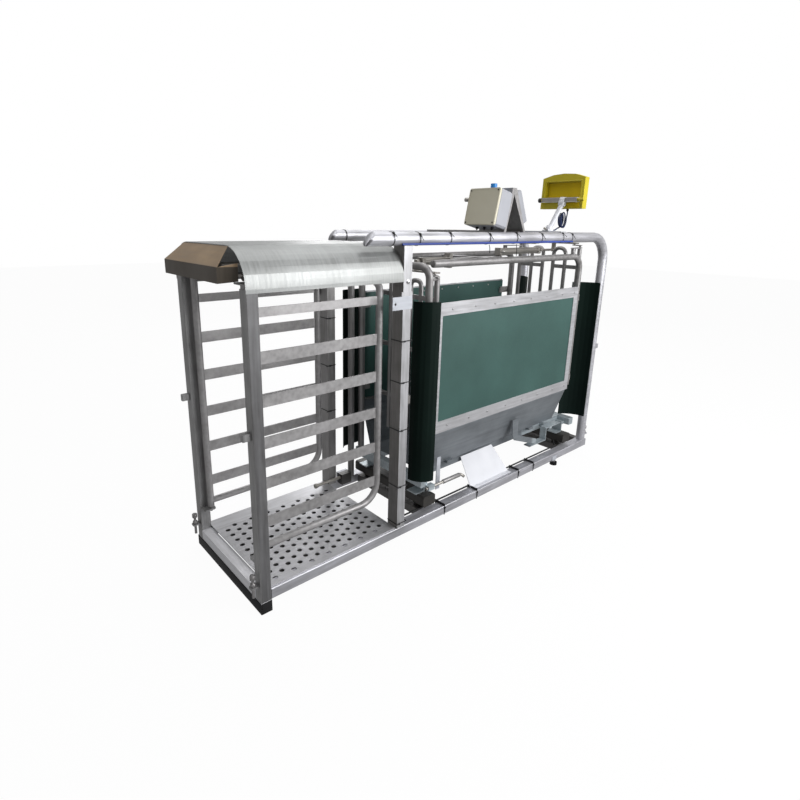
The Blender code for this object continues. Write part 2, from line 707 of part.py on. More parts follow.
def wings():
    for side in ("near", "far"):
        if side == "near":
            line = arc((HOOP_X + 0.02, 0.10), 0.095, 180, 270, 6)
        else:
            line = arc((HOOP_X - 0.065, WIDTH - 0.045), 0.042, 150, 90, 4)
            line.append((HOOP_X + 0.030, WIDTH - 0.003))
        sheet = folded(line, 0.004 if side == "near" else -0.004, "z", WING_BASE,
                       PANEL_TOP + 0.02)
        make("wing_exit_" + side, "dark_green_sheet", [sheet])

    def entry_wing():
        line = arc((CRATE_END + 0.015, 0.0), 0.17, 2, 65, 6)
        return [folded(line, 0.004, "z", WING_BASE, PANEL_TOP + 0.02)], []
    sides("wing_entry", "dark_green_sheet", entry_wing)


def exit_leaf():
    """Open hoop leaf on a stile, with the crank on top of its pin."""
    x, y = EXIT_HINGE_X, DOOR_IN
    top = EXIT_DOOR_TOP
    solids = [rod((x, y, STILE_BASE), (x, y, top), DOOR_STILE, 12)]
    inner, outer = MIDDLE - 0.027 - 0.013, MIDDLE - 0.115
    loop = rounded([(x, outer, DOOR_BASE + 0.02), (x, outer, top - 0.014), (x, inner, top - 0.014),
                    (x, inner, DOOR_BASE + 0.02)], 0.028, 4)
    solids.append(pipe(loop, 0.012, 10))
    for z in (STILE_BASE + 0.04, 0.94, top - 0.10):
        solids.append(bar("y", (x - 0.005, x + 0.005), (y, inner), (z - 0.012, z + 0.012)))
    turn = math.radians(DOOR_CRANK_ANGLE)
    pin = (x + DOOR_CRANK * math.cos(turn), y + DOOR_CRANK * math.sin(turn))
    deck = top + 0.012
    solids.append(rod((x, y, top - 0.01), (x, y, deck + 0.002), PIN, 12))
    solids.append(rod((x, y, STILE_BASE - 0.014), (x, y, STILE_BASE + 0.01), PIN, 12))
    solids.append(extrude(stadium((x, y), pin, 0.014), "z", deck, deck + 0.006))
    solids.append(rod((pin[0], pin[1], deck + 0.003), (pin[0], pin[1], deck + 0.020), PIN, 12))
    return solids, []


def entry_leaf():
    """Tall hoop leaf with a shorter stile, three arms and the crank above its bracket."""
    x, y = ENTRY_HINGE_X, DOOR_IN
    top = ENTRY_DOOR_TOP
    solids = [rod((x, y, STILE_BASE), (x, y, top), DOOR_STILE, 12)]
    inner, outer = MIDDLE - 0.040, MIDDLE - 0.128
    loop = rounded([(x, outer, DOOR_BASE), (x, outer, top), (x, inner, top),
                    (x, inner, DOOR_BASE)], 0.040, 5)
    solids.append(pipe(loop, 0.0125, 10))
    for z in (STILE_BASE + 0.04, 1.00, top - 0.12):
        solids.append(bar("y", (x - 0.005, x + 0.005), (y, inner), (z - 0.012, z + 0.012)))
    solids.append(bar("y", (x - 0.005, x + 0.005), (outer, inner), (DOOR_BASE + 0.02,
                                                                   DOOR_BASE + 0.044)))
    turn = math.radians(DOOR_CRANK_ANGLE)
    pin = (x + DOOR_CRANK * math.cos(turn), y + DOOR_CRANK * math.sin(turn))
    deck = top + 0.018
    solids.append(rod((x, y, top - 0.01), (x, y, deck + 0.002), PIN, 12))
    solids.append(rod((x, y, STILE_BASE - 0.014), (x, y, STILE_BASE + 0.01), PIN, 12))
    solids.append(extrude(stadium((x, y), pin, 0.014), "z", deck, deck + 0.006))
    solids.append(rod((pin[0], pin[1], deck + 0.003), (pin[0], pin[1], deck + 0.018), PIN, 12))
    return solids, []


def crosshead(hinge, low, thick, rod_z, rod_end, riser):
    """Plate with two slots for the crank pins, a riser and the ram's rod."""
    turn = math.radians(DOOR_CRANK_ANGLE)
    x = hinge + DOOR_CRANK * math.cos(turn)
    near = DOOR_IN + DOOR_CRANK * math.sin(turn)
    far_pin = DOOR_IN + DOOR_CRANK
    plate = bar("x", (x - 0.020, x + 0.020), (near - 0.020, WIDTH - near + 0.020),
                (low, low + thick))
    slots = []
    for side in (0, 1):
        one, two = (x, near - 0.002), (x, far_pin + 0.002)
        slot = extrude(stadium(one, two, PIN + 0.0022), "z", low - 0.01, low + thick + 0.01)
        slots.append(flip(slot) if side else slot)
    z0, z1 = min(low + 0.002, rod_z - 0.012), max(low + thick - 0.002, rod_z + 0.012)
    block = bar("z", (x + riser - 0.010, x + riser + 0.010), (MIDDLE - 0.012, MIDDLE + 0.012),
                (z0, z1), 0.002)
    shaft = rod((x + riser, MIDDLE, rod_z), (rod_end, MIDDLE, rod_z), 0.008, 12)
    return [plate, block, shaft], slots


def doors():
    sides("exit_leaf", "galvanised", exit_leaf, pivot=(EXIT_HINGE_X, DOOR_IN, DOOR_BASE))
    sides("entry_leaf", "galvanised", entry_leaf, pivot=(ENTRY_HINGE_X, DOOR_IN, DOOR_BASE))
    reach = DOOR_CRANK * math.cos(math.radians(DOOR_CRANK_ANGLE))
    solids, cuts = crosshead(EXIT_HINGE_X, EXIT_DOOR_TOP + 0.024, 0.008, RAM_EXIT_Z,
                             RAM_EXIT_START + 0.155, 0.020)
    make("exit_crosshead", "cylinder_metal", solids, cuts,
         pivot=(EXIT_HINGE_X + reach, MIDDLE, RAM_EXIT_Z))
    solids, cuts = crosshead(ENTRY_HINGE_X, ENTRY_DOOR_TOP + 0.028, 0.008, RAM_ENTRY_Z,
                             CRATE_END - 0.145, 0.0)
    make("entry_crosshead", "cylinder_metal", solids, cuts,
         pivot=(ENTRY_HINGE_X + reach, MIDDLE, RAM_ENTRY_Z))
    solids, cuts = cylinder(RAM_EXIT_START, RAM_EXIT_END, MIDDLE, RAM_EXIT_Z, 0.018,
                            RAM_EXIT_START, 0.19, plate=0.019)
    make("exit_ram", "cylinder_metal", solids, cuts)
    end = CRATE_END - 0.085
    solids, cuts = cylinder(end, RAM_ENTRY_START, MIDDLE, RAM_ENTRY_Z, 0.018, end, 0.20)
    foot = bar("x", (RAM_ENTRY_START + 0.002, RAM_ENTRY_START + 0.022), (MIDDLE - 0.016, MIDDLE + 0.016),
               (CRATE_Z + 0.002 + GAP, RAM_ENTRY_Z - 0.015))
    make("entry_ram", "cylinder_metal", solids + [foot], cuts)


def crate():
    load_bars()
    bearers()
    tray()
    sides("crate_side", "green_sheet", panel)
    sides("crate_trim", "brushed_sheet", trim)
    sides("crate_tube", "galvanised", crate_tube)
    exit_hoop()
    carrier()
    wings()
    doors()


# controls on the spine

def stand():
    """Folded A-frame on two cross bars between the spine tubes; the box side is the steeper one."""
    deck = SPINE_Z + SPINE + GAP
    y0, y1 = 0.035, 0.205
    legs = [(STAND_X, deck), (STAND_X + 0.014, deck), (STAND_X + 0.064, STAND_TOP - 0.035),
            (STAND_END - 0.014, deck), (STAND_END, deck), (STAND_X + 0.082, STAND_TOP),
            (STAND_X + 0.048, STAND_TOP)]
    solids = [extrude(legs, "y", y0, y1)]
    inner = (SPINE + 0.0262, WIDTH - SPINE - 0.0262)
    for x0 in (STAND_X, STAND_END - 0.03):
        solids.append(bar("y", (x0, x0 + 0.03), inner, (deck - 0.015, deck + 0.005)))
    make("control_stand", "galvanised", solids)


def leaning_case(foot, top, low, deep, y0, y1, tall, cut):
    """Closed case whose back lies flat on a slope of the stand, from foot to top in (x, z)."""
    foot, top = Vector(foot), Vector(top)
    up = (top - foot).normalized()
    out = Vector((-up.y, up.x)) if top.x > foot.x else Vector((up.y, -up.x))
    start = foot + up * low + out * GAP
    outline = cut_corners(y0, y1, 0, tall, cut)
    bm = extrude(outline, "x", 0, deep)
    for vert in bm.verts:
        spot = start + up * vert.co.z + out * vert.co.x
        vert.co = Vector((spot.x, vert.co.y, spot.y))
    if top.x > foot.x:
        bmesh.ops.reverse_faces(bm, faces=bm.faces)
    bm.normal_update()
    return closed(bm)


def controls():
    stand()
    deck = SPINE_Z + SPINE + GAP
    case = leaning_case((STAND_X, deck), (STAND_X + 0.048, STAND_TOP), 0.014, 0.090,
                        0.030, 0.230, 0.190, 0.010)
    x = STAND_X - 0.010
    knob = rod((x, 0.115, STAND_TOP - 0.036), (x, 0.115, STAND_TOP + 0.004), 0.016, 12)
    make("control_box", "beige_case", [case, knob])
    back = leaning_case((STAND_END, deck), (STAND_X + 0.082, STAND_TOP), 0.040, 0.045,
                        0.045, 0.195, 0.180, 0.006)
    make("valve_box", "white_paint", [back])


def indicator():
    """Display case on a round bar that turns in the post's eye."""
    deck = SPINE_Z + SPINE + GAP
    x, y = LENGTH - 0.50, 0.165
    cx, cz = LENGTH - 0.41, 1.752
    strap = bar("y", (x - 0.03, x + 0.03), (SPINE + 0.0262, WIDTH - SPINE - 0.0262),
                (deck - 0.015, deck + 0.005))
    post = pipe([(x, y, deck), (cx - 0.005, y - 0.030, cz - 0.019)], 0.015, 12)
    eye = extrude(stadium((cx - 0.010, cz - 0.022), (cx, cz), 0.018), "y", 0.118, 0.152)
    bore = rod((cx, 0.10, cz), (cx, 0.17, cz), 0.0106, 14)
    make("indicator_post", "white_paint", [strap, post, eye], [bore])
    low, high = cz - 0.052, cz + 0.156
    outline = [(0.018, low), (0.305, low), (0.302, high - 0.024), (0.230, high - 0.005),
               (0.158, high), (0.085, high - 0.005), (0.016, high - 0.026)]
    shell = extrude(outline, "x", cx + 0.022, cx + 0.068)
    hollow = bar("x", (cx + 0.010, cx + 0.048), (0.040, 0.276), (low + 0.064, high - 0.048), 0.006)
    solids = [shell, rod((cx, -0.002, cz), (cx, 0.285, cz), 0.010, 14)]
    for y0 in (0.040, 0.215):
        solids.append(bar("y", (cx - 0.004, cx + 0.030), (y0, y0 + 0.030), (cz - 0.006, cz + 0.006)))
    make("indicator_case", "yellow_case", solids, [hollow], pivot=(cx, 0.135, cz))


def cable():
    line = [(CAGE - 0.010, 0.00296, SPINE_Z - 0.0227), (LENGTH - 0.48, 0.00296, SPINE_Z - 0.0227)]
    make("spine_cable", "blue_cable", [pipe(line, 0.005, 8)])
    x = CAGE + POST + 0.0055
    y, z = RAIL_WIDE + 0.0055, RAIL_TOP + 0.0058
    path = rounded([(x, 0.045, 1.36), (x, 0.045, 0.20), (x + 0.03, y, z), (LOAD_ENTRY_X - 0.09, y, z),
                    (LOAD_ENTRY_X - 0.06, 0.098, z + 0.026)], 0.02, 3)
    make("rail_hose", "black_rubber", [pipe(path, 0.005, 8)])


# loose pieces

def drop_pin(x, y):
    z = 0.137
    return [rod((x, y, 0.082), (x, y, z + 0.050), PIN, 12),
            rod((x, y, z + GAP), (x, y, z + 0.014), 0.011, 12),
            rod((x, y, z + 0.034), (x, y, z + 0.052), 0.012, 12)]


def loose():
    def exit_pin():
        return drop_pin(-0.022, POST / 2), []
    sides("drop_pin_exit", "galvanised", exit_pin, pivot=(-0.022, POST / 2, 0.137))

    def entry_pin():
        return drop_pin(LENGTH + 0.024, SPINE), []
    sides("drop_pin_entry", "galvanised", entry_pin, pivot=(LENGTH + 0.024, SPINE, 0.138))
    # lock bolts: a near one with a bent handle, a far one in the guide block on the rail
    x, y, z = HOOP_X + 0.005, 0.040, 0.2295
    path = rounded([(x, y, z), (x + 0.280, y, z), (x + 0.295, y - 0.014, z - 0.0145)], 0.012, 3)
    make("lock_bolt_near", "cylinder_metal", [pipe(path, 0.008, 10)], pivot=(x, y, z))
    x, y, z = CAGE - 0.102, WIDTH - 0.085, 0.140
    shaft = rod((x, y, z), (x + 0.22, y, z), 0.009, 12)
    head = rod((x - 0.008, y, z), (x + 0.008, y, z), 0.014, 12)
    make("lock_bolt_far", "cylinder_metal", [shaft, head], pivot=(x, y, z))
    # leaning step plate on the near rail
    z = RAIL_TOP + GAP
    bm = bmesh.new()
    x = STEP_X
    spots = [(x + 0.005, 0.044, z), (x + 0.365, 0.044, z), (x + 0.290, 0.130, 0.275),
             (x, 0.130, 0.275)]
    thick = Vector((0.0, 0.0022, -0.0012))
    front = [bm.verts.new(s) for s in spots]
    back = [bm.verts.new(Vector(s) + (thick if i > 1 else Vector((0, 0.0035, 0))))
            for i, s in enumerate(spots)]
    bm.faces.new(front)
    bm.faces.new(list(reversed(back)))
    for i in range(4):
        j = (i + 1) % 4
        bm.faces.new((front[i], back[i], back[j], front[j]))
    flange = bar("x", (x + 0.007, x + 0.363), (0.020, 0.046), (z, z + 0.003))
    make("step_plate", "white_paint", [closed(bm), flange])


def main():
    for obj in list(bpy.data.objects):
        bpy.data.objects.remove(obj)
    base()
    cage_floor()
    cage()
    spine()
    gates()
    crate()
    controls()
    indicator()
    cable()
    loose()


main()
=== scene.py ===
# %% [markdown]
# A three-way drafting gate for small stock, dressed over its construction model.

# %% Frame
import json
import math
import bmesh
import bpy
from mathutils import Matrix, Vector

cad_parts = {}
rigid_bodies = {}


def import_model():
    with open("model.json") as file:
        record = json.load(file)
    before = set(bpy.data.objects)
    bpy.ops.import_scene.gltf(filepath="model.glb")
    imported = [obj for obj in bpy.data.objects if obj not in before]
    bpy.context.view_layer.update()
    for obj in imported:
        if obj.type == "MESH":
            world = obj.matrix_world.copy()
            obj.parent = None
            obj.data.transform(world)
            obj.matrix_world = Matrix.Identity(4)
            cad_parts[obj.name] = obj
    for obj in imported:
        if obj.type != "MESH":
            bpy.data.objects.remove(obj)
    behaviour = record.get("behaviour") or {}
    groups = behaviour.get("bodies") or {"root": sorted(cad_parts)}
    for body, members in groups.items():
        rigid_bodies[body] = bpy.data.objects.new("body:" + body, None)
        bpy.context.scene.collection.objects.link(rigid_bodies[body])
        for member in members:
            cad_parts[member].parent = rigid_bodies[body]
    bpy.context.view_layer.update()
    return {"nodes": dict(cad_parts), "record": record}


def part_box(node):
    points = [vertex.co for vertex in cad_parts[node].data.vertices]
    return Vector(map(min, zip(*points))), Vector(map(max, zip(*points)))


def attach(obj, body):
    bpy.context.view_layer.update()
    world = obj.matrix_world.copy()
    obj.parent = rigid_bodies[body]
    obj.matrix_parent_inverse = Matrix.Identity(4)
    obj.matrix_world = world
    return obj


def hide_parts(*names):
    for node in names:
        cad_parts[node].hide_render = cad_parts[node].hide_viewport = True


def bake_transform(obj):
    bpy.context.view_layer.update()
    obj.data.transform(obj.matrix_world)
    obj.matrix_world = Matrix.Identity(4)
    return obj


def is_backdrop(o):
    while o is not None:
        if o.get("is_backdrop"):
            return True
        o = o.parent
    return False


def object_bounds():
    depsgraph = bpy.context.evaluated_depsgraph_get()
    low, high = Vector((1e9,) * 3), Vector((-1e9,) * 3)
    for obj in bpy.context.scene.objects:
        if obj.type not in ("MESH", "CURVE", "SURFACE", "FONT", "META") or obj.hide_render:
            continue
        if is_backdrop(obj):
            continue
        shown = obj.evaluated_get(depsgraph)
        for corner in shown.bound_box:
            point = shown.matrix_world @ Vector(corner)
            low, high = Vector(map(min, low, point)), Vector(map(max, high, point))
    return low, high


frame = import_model()

# %% [markdown]
# The camera repeats the photograph's own view. A fit of the long rails and posts gave its place, heading,
# pitch, a slight roll and its focal length in pixels. A lens in millimetres is that length times sensor
# over image width, and the small shift puts the optical axis where the photograph has it.

# %% Camera
EYE = Vector((-2.1385, -2.025, 1.587))
HEADING, PITCH, ROLL = math.radians(40.4428), math.radians(15.3415), math.radians(0.8370)
FOCAL_PX, AXIS_X_PX, AXIS_Y_PX, IMAGE_PX = 520.884, 376.095, 367.878, 800.0
SENSOR_MM = 36.0
look = Vector((math.sin(HEADING) * math.cos(PITCH), math.cos(HEADING) * math.cos(PITCH), -math.sin(PITCH)))
level = look.cross(Vector((0, 0, 1))).normalized()
rise = level.cross(look)
right = math.cos(ROLL) * level + math.sin(ROLL) * rise
above = -math.sin(ROLL) * level + math.cos(ROLL) * rise
camera_data = bpy.data.cameras.new("photo_camera")
camera_data.sensor_width = SENSOR_MM
camera_data.lens = SENSOR_MM * FOCAL_PX / IMAGE_PX
camera_data.shift_x = (IMAGE_PX / 2 - AXIS_X_PX) / IMAGE_PX
camera_data.shift_y = (AXIS_Y_PX - IMAGE_PX / 2) / IMAGE_PX
camera = bpy.data.objects.new("photo_camera", camera_data)
bpy.context.scene.collection.objects.link(camera)
camera.matrix_world = Matrix.Translation(EYE) @ Matrix((right, above, -look)).transposed().to_4x4()
bpy.context.scene.camera = camera
print("lens", round(camera_data.lens, 2), "mm, shift",
      round(camera_data.shift_x, 4), round(camera_data.shift_y, 4))

# %% [markdown]
# Studio: one very large pale floor, a white surround and three big soft lamps. The camera sees the surround
# as plain white, the metal mirrors it as a pale grey, and the light that it gives the object stays modest,
# so that pale metal doesn't clip.

# %% Surround
bpy.context.scene.view_settings.view_transform = "Standard"


def seen_as(tree, plain_level, metal_level):
    """Strength socket: 1 for the camera and through glass, metal_level in metal, plain_level as light."""
    rays = tree.nodes.new("ShaderNodeLightPath")
    total = None
    for ray, level in (("Is Glossy Ray", metal_level), ("Is Camera Ray", 1.0), ("Is Transmission Ray", 1.0)):
        node = tree.nodes.new("ShaderNodeMath")
        node.operation = "MULTIPLY_ADD"
        node.use_clamp = True
        node.inputs[1].default_value = level - plain_level
        node.inputs[2].default_value = plain_level
        tree.links.new(rays.outputs[ray], node.inputs[0])
        if total:
            tree.links.new(total, node.inputs[2])
        total = node.outputs[0]
    return total


world = bpy.data.worlds.new("studio_world")
bpy.context.scene.world = world
world.use_nodes = True
back = world.node_tree.nodes["Background"]
back.inputs["Color"].default_value = (1.0, 1.0, 1.0, 1.0)
surround_level = seen_as(world.node_tree, plain_level=0.30, metal_level=0.50)
world.node_tree.links.new(surround_level, back.inputs["Strength"])
print("surround set")

# %% Lamps


def lamp(name, place, target, size, power):
    """Soft square lamp that looks at a target point."""
    data = bpy.data.lights.new(name, "AREA")
    data.size = size
    data.energy = power
    obj = bpy.data.objects.new(name, data)
    bpy.context.scene.collection.objects.link(obj)
    obj.location = place
    obj.rotation_euler = (Vector(target) - Vector(place)).to_track_quat("-Z", "Y").to_euler()
    obj.visible_camera = False
    obj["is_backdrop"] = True
    return obj


lamps = [lamp("key_lamp", place=(1.6, -4.0, 2.6), target=(0.2, 0.0, 0.8), size=3.0, power=230.0),
         lamp("top_lamp", place=(0.3, 0.6, 4.4), target=(0.0, 0.0, 0.8), size=3.5, power=70.0),
         lamp("back_lamp", place=(3.9, 4.4, 2.3), target=(0.0, 0.0, 0.7), size=3.5, power=130.0)]
print(len(lamps), "lamps,", sum(obj.data.energy for obj in lamps), "W")

# %% Floor
FLOOR_SIDE, FLOOR_DROP, FLOOR_GLOW = 40.0, 0.0005, 0.965


def plain(name, colour, rough=0.5, metal=0.0):
    """Material with one even Principled shader; patterns are added to it afterwards."""
    mat = bpy.data.materials.new(name)
    mat.use_nodes = True
    shader = mat.node_tree.nodes["Principled BSDF"]
    shader.inputs["Base Color"].default_value = (*colour, 1.0)
    shader.inputs["Roughness"].default_value = rough
    shader.inputs["Metallic"].default_value = metal
    return mat


bpy.ops.object.select_all(action="DESELECT")
bpy.ops.mesh.primitive_plane_add(size=FLOOR_SIDE, location=(0, 0, -FLOOR_DROP))
floor = bpy.context.object
floor.name = "pale_floor"
floor_mat = plain("pale_floor", (0.86, 0.86, 0.87), 0.75)
tree = floor_mat.node_tree
shade = tree.nodes["Principled BSDF"]
white = tree.nodes.new("ShaderNodeEmission")
mix = tree.nodes.new("ShaderNodeMixShader")
mix.inputs["Fac"].default_value = FLOOR_GLOW
out = tree.nodes["Material Output"]
tree.links.new(seen_as(tree, plain_level=0.25, metal_level=0.40), white.inputs["Strength"])
tree.links.new(shade.outputs[0], mix.inputs[1])
tree.links.new(white.outputs[0], mix.inputs[2])
tree.links.new(mix.outputs[0], out.inputs["Surface"])
floor.data.materials.append(floor_mat)
floor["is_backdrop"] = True
print("floor of", FLOOR_SIDE, "m set")

# %% [markdown]
# Patterns. The tubes are drawn and galvanised, the sheets rolled, so their metal has a cloudy tone and fine
# lines along the tube or the sheet. All patterns are noise on the piece's own coordinates, and a zone can
# darken one flat of a post or the part of a beam that lies under the crate: painted shade.

# %% Patterns


def mixed(tree, factor, dark, light):
    """Colour between two colours, driven by a factor socket."""
    node = tree.nodes.new("ShaderNodeMix")
    node.data_type = "RGBA"
    node.inputs["A"].default_value = (*dark, 1.0)
    node.inputs["B"].default_value = (*light, 1.0)
    tree.links.new(factor, node.inputs["Factor"])
    return node.outputs["Result"]


def noise(tree, scale, stretch=(1, 1, 1), detail=4.0, rough=0.55):
    """Noise on object coordinates, stretched along the axes."""
    where = tree.nodes.new("ShaderNodeTexCoord")
    mapping = tree.nodes.new("ShaderNodeMapping")
    mapping.inputs["Scale"].default_value = stretch
    texture = tree.nodes.new("ShaderNodeTexNoise")
    texture.inputs["Scale"].default_value = scale
    texture.inputs["Detail"].default_value = detail
    texture.inputs["Roughness"].default_value = rough
    tree.links.new(where.outputs["Object"], mapping.inputs["Vector"])
    tree.links.new(mapping.outputs["Vector"], texture.inputs["Vector"])
    return texture.outputs["Fac"]


def ramp(tree, socket, low, high, to_low=0.0, to_high=1.0):
    """Straight change from one value to another while a socket goes from low to high."""
    node = tree.nodes.new("ShaderNodeMapRange")
    node.inputs["From Min"].default_value = low
    node.inputs["From Max"].default_value = high
    node.inputs["To Min"].default_value = to_low
    node.inputs["To Max"].default_value = to_high
    tree.links.new(socket, node.inputs["Value"])
    return node.outputs["Result"]


def raised(tree, height, strength, distance):
    """Bump on the Principled shader, driven by a height socket."""
    bump = tree.nodes.new("ShaderNodeBump")
    bump.inputs["Strength"].default_value = strength
    bump.inputs["Distance"].default_value = distance
    tree.links.new(height, bump.inputs["Height"])
    tree.links.new(bump.outputs["Normal"], tree.nodes["Principled BSDF"].inputs["Normal"])


def zone(mat, axis, start, end, tone, mirrored=False):
    """Colour multiplied by a tone, coming in from start to end along one of the piece's own axes."""
    tree = mat.node_tree
    shader = tree.nodes["Principled BSDF"]
    where = tree.nodes.new("ShaderNodeTexCoord")
    split = tree.nodes.new("ShaderNodeSeparateXYZ")
    tree.links.new(where.outputs["Object"], split.inputs[0])
    along = split.outputs[axis]
    if mirrored:
        size = tree.nodes.new("ShaderNodeMath")
        size.operation = "ABSOLUTE"
        tree.links.new(along, size.inputs[0])
        along = size.outputs[0]
    node = tree.nodes.new("ShaderNodeMix")
    node.data_type = "RGBA"
    node.blend_type = "MULTIPLY"
    node.inputs["B"].default_value = (*tone, 1.0)
    tree.links.new(shader.inputs["Base Color"].links[0].from_socket, node.inputs["A"])
    tree.links.new(ramp(tree, along, start, end), node.inputs["Factor"])
    tree.links.new(node.outputs["Result"], shader.inputs["Base Color"])


print("patterns ready")

# %% [markdown]
# Kinds of material. A metal mixes large clouds with fine lines, which also stand out a little and change
# the gloss. A plastic drifts slightly in colour and has a fine grain. Colours are given as the darkest and
# the lightest tone.

# %% Kinds of material
ALONG_X, ALONG_Y, UPRIGHT, EVEN = (0.06, 1, 1), (1, 0.06, 1), (1, 1, 0.06), (1, 1, 1)
CLOUD_SCALE, CLOUD_SHARE, LINE_SHARE, LINE_DEPTH = 5.0, 0.55, 0.45, 0.0006
DRIFT_SCALE, GRAIN_SCALE, GRAIN_BUMP, GRAIN_DEPTH = 3.0, 160.0, 0.10, 0.0004


def metal(name, dark, light, rough, stretch, streak=90.0, metallic=0.8, bump=0.15):
    """Tube or sheet metal: cloudy tone, fine drawn lines and a little unevenness in the gloss."""
    mat = plain(name, light, rough, metallic)
    tree = mat.node_tree
    shader = tree.nodes["Principled BSDF"]
    clouds = noise(tree, CLOUD_SCALE, detail=5.0)
    lines = noise(tree, streak, stretch, detail=3.0)
    both = tree.nodes.new("ShaderNodeMath")
    both.operation = "ADD"
    tree.links.new(ramp(tree, clouds, 0.3, 0.7, 0.0, CLOUD_SHARE), both.inputs[0])
    tree.links.new(ramp(tree, lines, 0.3, 0.7, 0.0, LINE_SHARE), both.inputs[1])
    tree.links.new(mixed(tree, both.outputs[0], dark, light), shader.inputs["Base Color"])
    tree.links.new(ramp(tree, lines, 0.25, 0.75, rough - 0.08, rough + 0.12), shader.inputs["Roughness"])
    raised(tree, lines, bump, LINE_DEPTH)
    return mat


def plastic(name, dark, light, rough, shine=0.5):
    """Moulded or sheet plastic: slight colour drift and a fine grain."""
    mat = plain(name, light, rough)
    tree = mat.node_tree
    shader = tree.nodes["Principled BSDF"]
    shader.inputs["Specular IOR Level"].default_value = shine
    drift = ramp(tree, noise(tree, DRIFT_SCALE), 0.35, 0.65)
    tree.links.new(mixed(tree, drift, dark, light), shader.inputs["Base Color"])
    grain = noise(tree, GRAIN_SCALE, detail=2.0)
    tree.links.new(ramp(tree, grain, 0.3, 0.7, rough - 0.05, rough + 0.08), shader.inputs["Roughness"])
    raised(tree, grain, GRAIN_BUMP, GRAIN_DEPTH)
    return mat


# Dark tone, light tone and roughness of the dull and the bright tubes.
TUBE = ((0.18, 0.175, 0.17), (0.38, 0.37, 0.375), 0.45)
BRIGHT_TUBE = ((0.36, 0.36, 0.375), (0.66, 0.66, 0.71), 0.40)
FINISH = {
    "galvanised": metal("drawn_tube", *TUBE, EVEN, streak=60.0, metallic=0.6),
    "brushed_sheet": metal("brushed_sheet", (0.40, 0.40, 0.41), (0.66, 0.66, 0.69), 0.38, ALONG_X,
                           metallic=0.6),
    "dark_steel": metal("black_steel", (0.015, 0.014, 0.013), (0.045, 0.042, 0.038), 0.5, ALONG_Y,
                        streak=60.0, metallic=0.3),
    "green_sheet": plastic("green_sheet", (0.026, 0.076, 0.066), (0.036, 0.098, 0.086), 0.45),
    "dark_green_sheet": plastic("wing_sheet", (0.003, 0.0085, 0.007), (0.0045, 0.013, 0.010), 0.55,
                                shine=0.10),
    "cylinder_metal": metal("cylinder_metal", (0.24, 0.22, 0.20), (0.46, 0.44, 0.41), 0.34, (0.05, 1, 1),
                            metallic=0.6),
    "white_paint": plastic("white_paint", (0.60, 0.61, 0.65), (0.72, 0.73, 0.77), 0.35),
    "beige_case": plastic("beige_case", (0.62, 0.585, 0.45), (0.71, 0.675, 0.54), 0.45),
    "yellow_case": plastic("yellow_case", (0.50, 0.41, 0.010), (0.62, 0.52, 0.018), 0.42),
    "blue_cable": plastic("blue_sheath", (0.015, 0.045, 0.26), (0.02, 0.06, 0.36), 0.40),
    "black_rubber": plastic("black_rubber", (0.008, 0.008, 0.009), (0.015, 0.015, 0.016), 0.60, shine=0.25),
}
tube_along = {
    "x": metal("drawn_tube_lengthways", *TUBE, ALONG_X, metallic=0.6),
    "z": metal("drawn_tube_upright", *TUBE, UPRIGHT, metallic=0.6),
}
print(len(FINISH) + len(tube_along), "general finishes")

# %% [markdown]
# Single pieces. Some solids differ from their slot's general finish, mostly by painted light and shade: the
# near faces of the posts are painted lighter or darker than their sides, the cross beams between the rails
# and the middle of the bearers are far darker than the rails as painted shade under the crate, the tops of
# the rails are a little darker, and the sill is much paler than the other sheet. The visor's brown is a
# painted reflection of a brown floor, and its lower lip is darker.

# %% Finishes of single pieces
OUTER_Y, RAIL_INNER_Y, RAIL_TOP = 0.3300, 0.2700, 0.1150
NEAR_FACE, BEHIND_FACE = 0.0003 - OUTER_Y, 0.0010 - OUTER_Y
# Painted shade under the crate: the bearers stay dark along this span of X and are lightened beyond it.
SHADE_START, SHADE_END, SHADE_FADE, UNSHADED = -0.13, 0.70, 0.02, (1.95, 2.0, 1.95)
PAD_TOP, VISOR_LIP = 0.0210, 0.058
spine_metal = metal("spine_tube_metal", *BRIGHT_TUBE, ALONG_X, metallic=0.6)
tray_metal = metal("tray_sheet", (0.15, 0.165, 0.18), (0.30, 0.325, 0.35), 0.40, ALONG_X,
                   streak=70.0, metallic=0.6)
gate_metal = metal("gate_metal", (0.24, 0.235, 0.235), (0.46, 0.45, 0.455), 0.46, EVEN,
                   streak=50.0, metallic=0.6, bump=0.08)
exit_metal = metal("exit_post_metal", (0.186, 0.183, 0.182), (0.41, 0.41, 0.415), 0.46, UPRIGHT, metallic=0.6)
# Painted shade: the near face of the exit posts is darkened.
zone(exit_metal, "Y", BEHIND_FACE, NEAR_FACE, (0.55, 0.55, 0.56))
bearer_metal = metal("bearer_sheet", (0.14, 0.155, 0.17), (0.28, 0.305, 0.33), 0.40, ALONG_X,
                     streak=70.0, metallic=0.5)
# Painted shade: the bearers are lightened past the ends of the dark span under the crate.
zone(bearer_metal, "X", SHADE_START, SHADE_START - SHADE_FADE, UNSHADED)
zone(bearer_metal, "X", SHADE_END, SHADE_END + SHADE_FADE, UNSHADED)
rail_metal = metal("rail_metal", (0.31, 0.31, 0.325), (0.60, 0.60, 0.65), 0.42, ALONG_X, metallic=0.6)
# Painted shade: the top face of the rails is a little darker.
zone(rail_metal, "Z", RAIL_TOP - 0.0012, RAIL_TOP - 0.0004, (0.80, 0.82, 0.84))
# Painted shade under the crate: everything between the rails, the cross beams, is far darker.
zone(rail_metal, "Y", RAIL_INNER_Y - 0.002, RAIL_INNER_Y - 0.008, (0.24, 0.23, 0.21), mirrored=True)
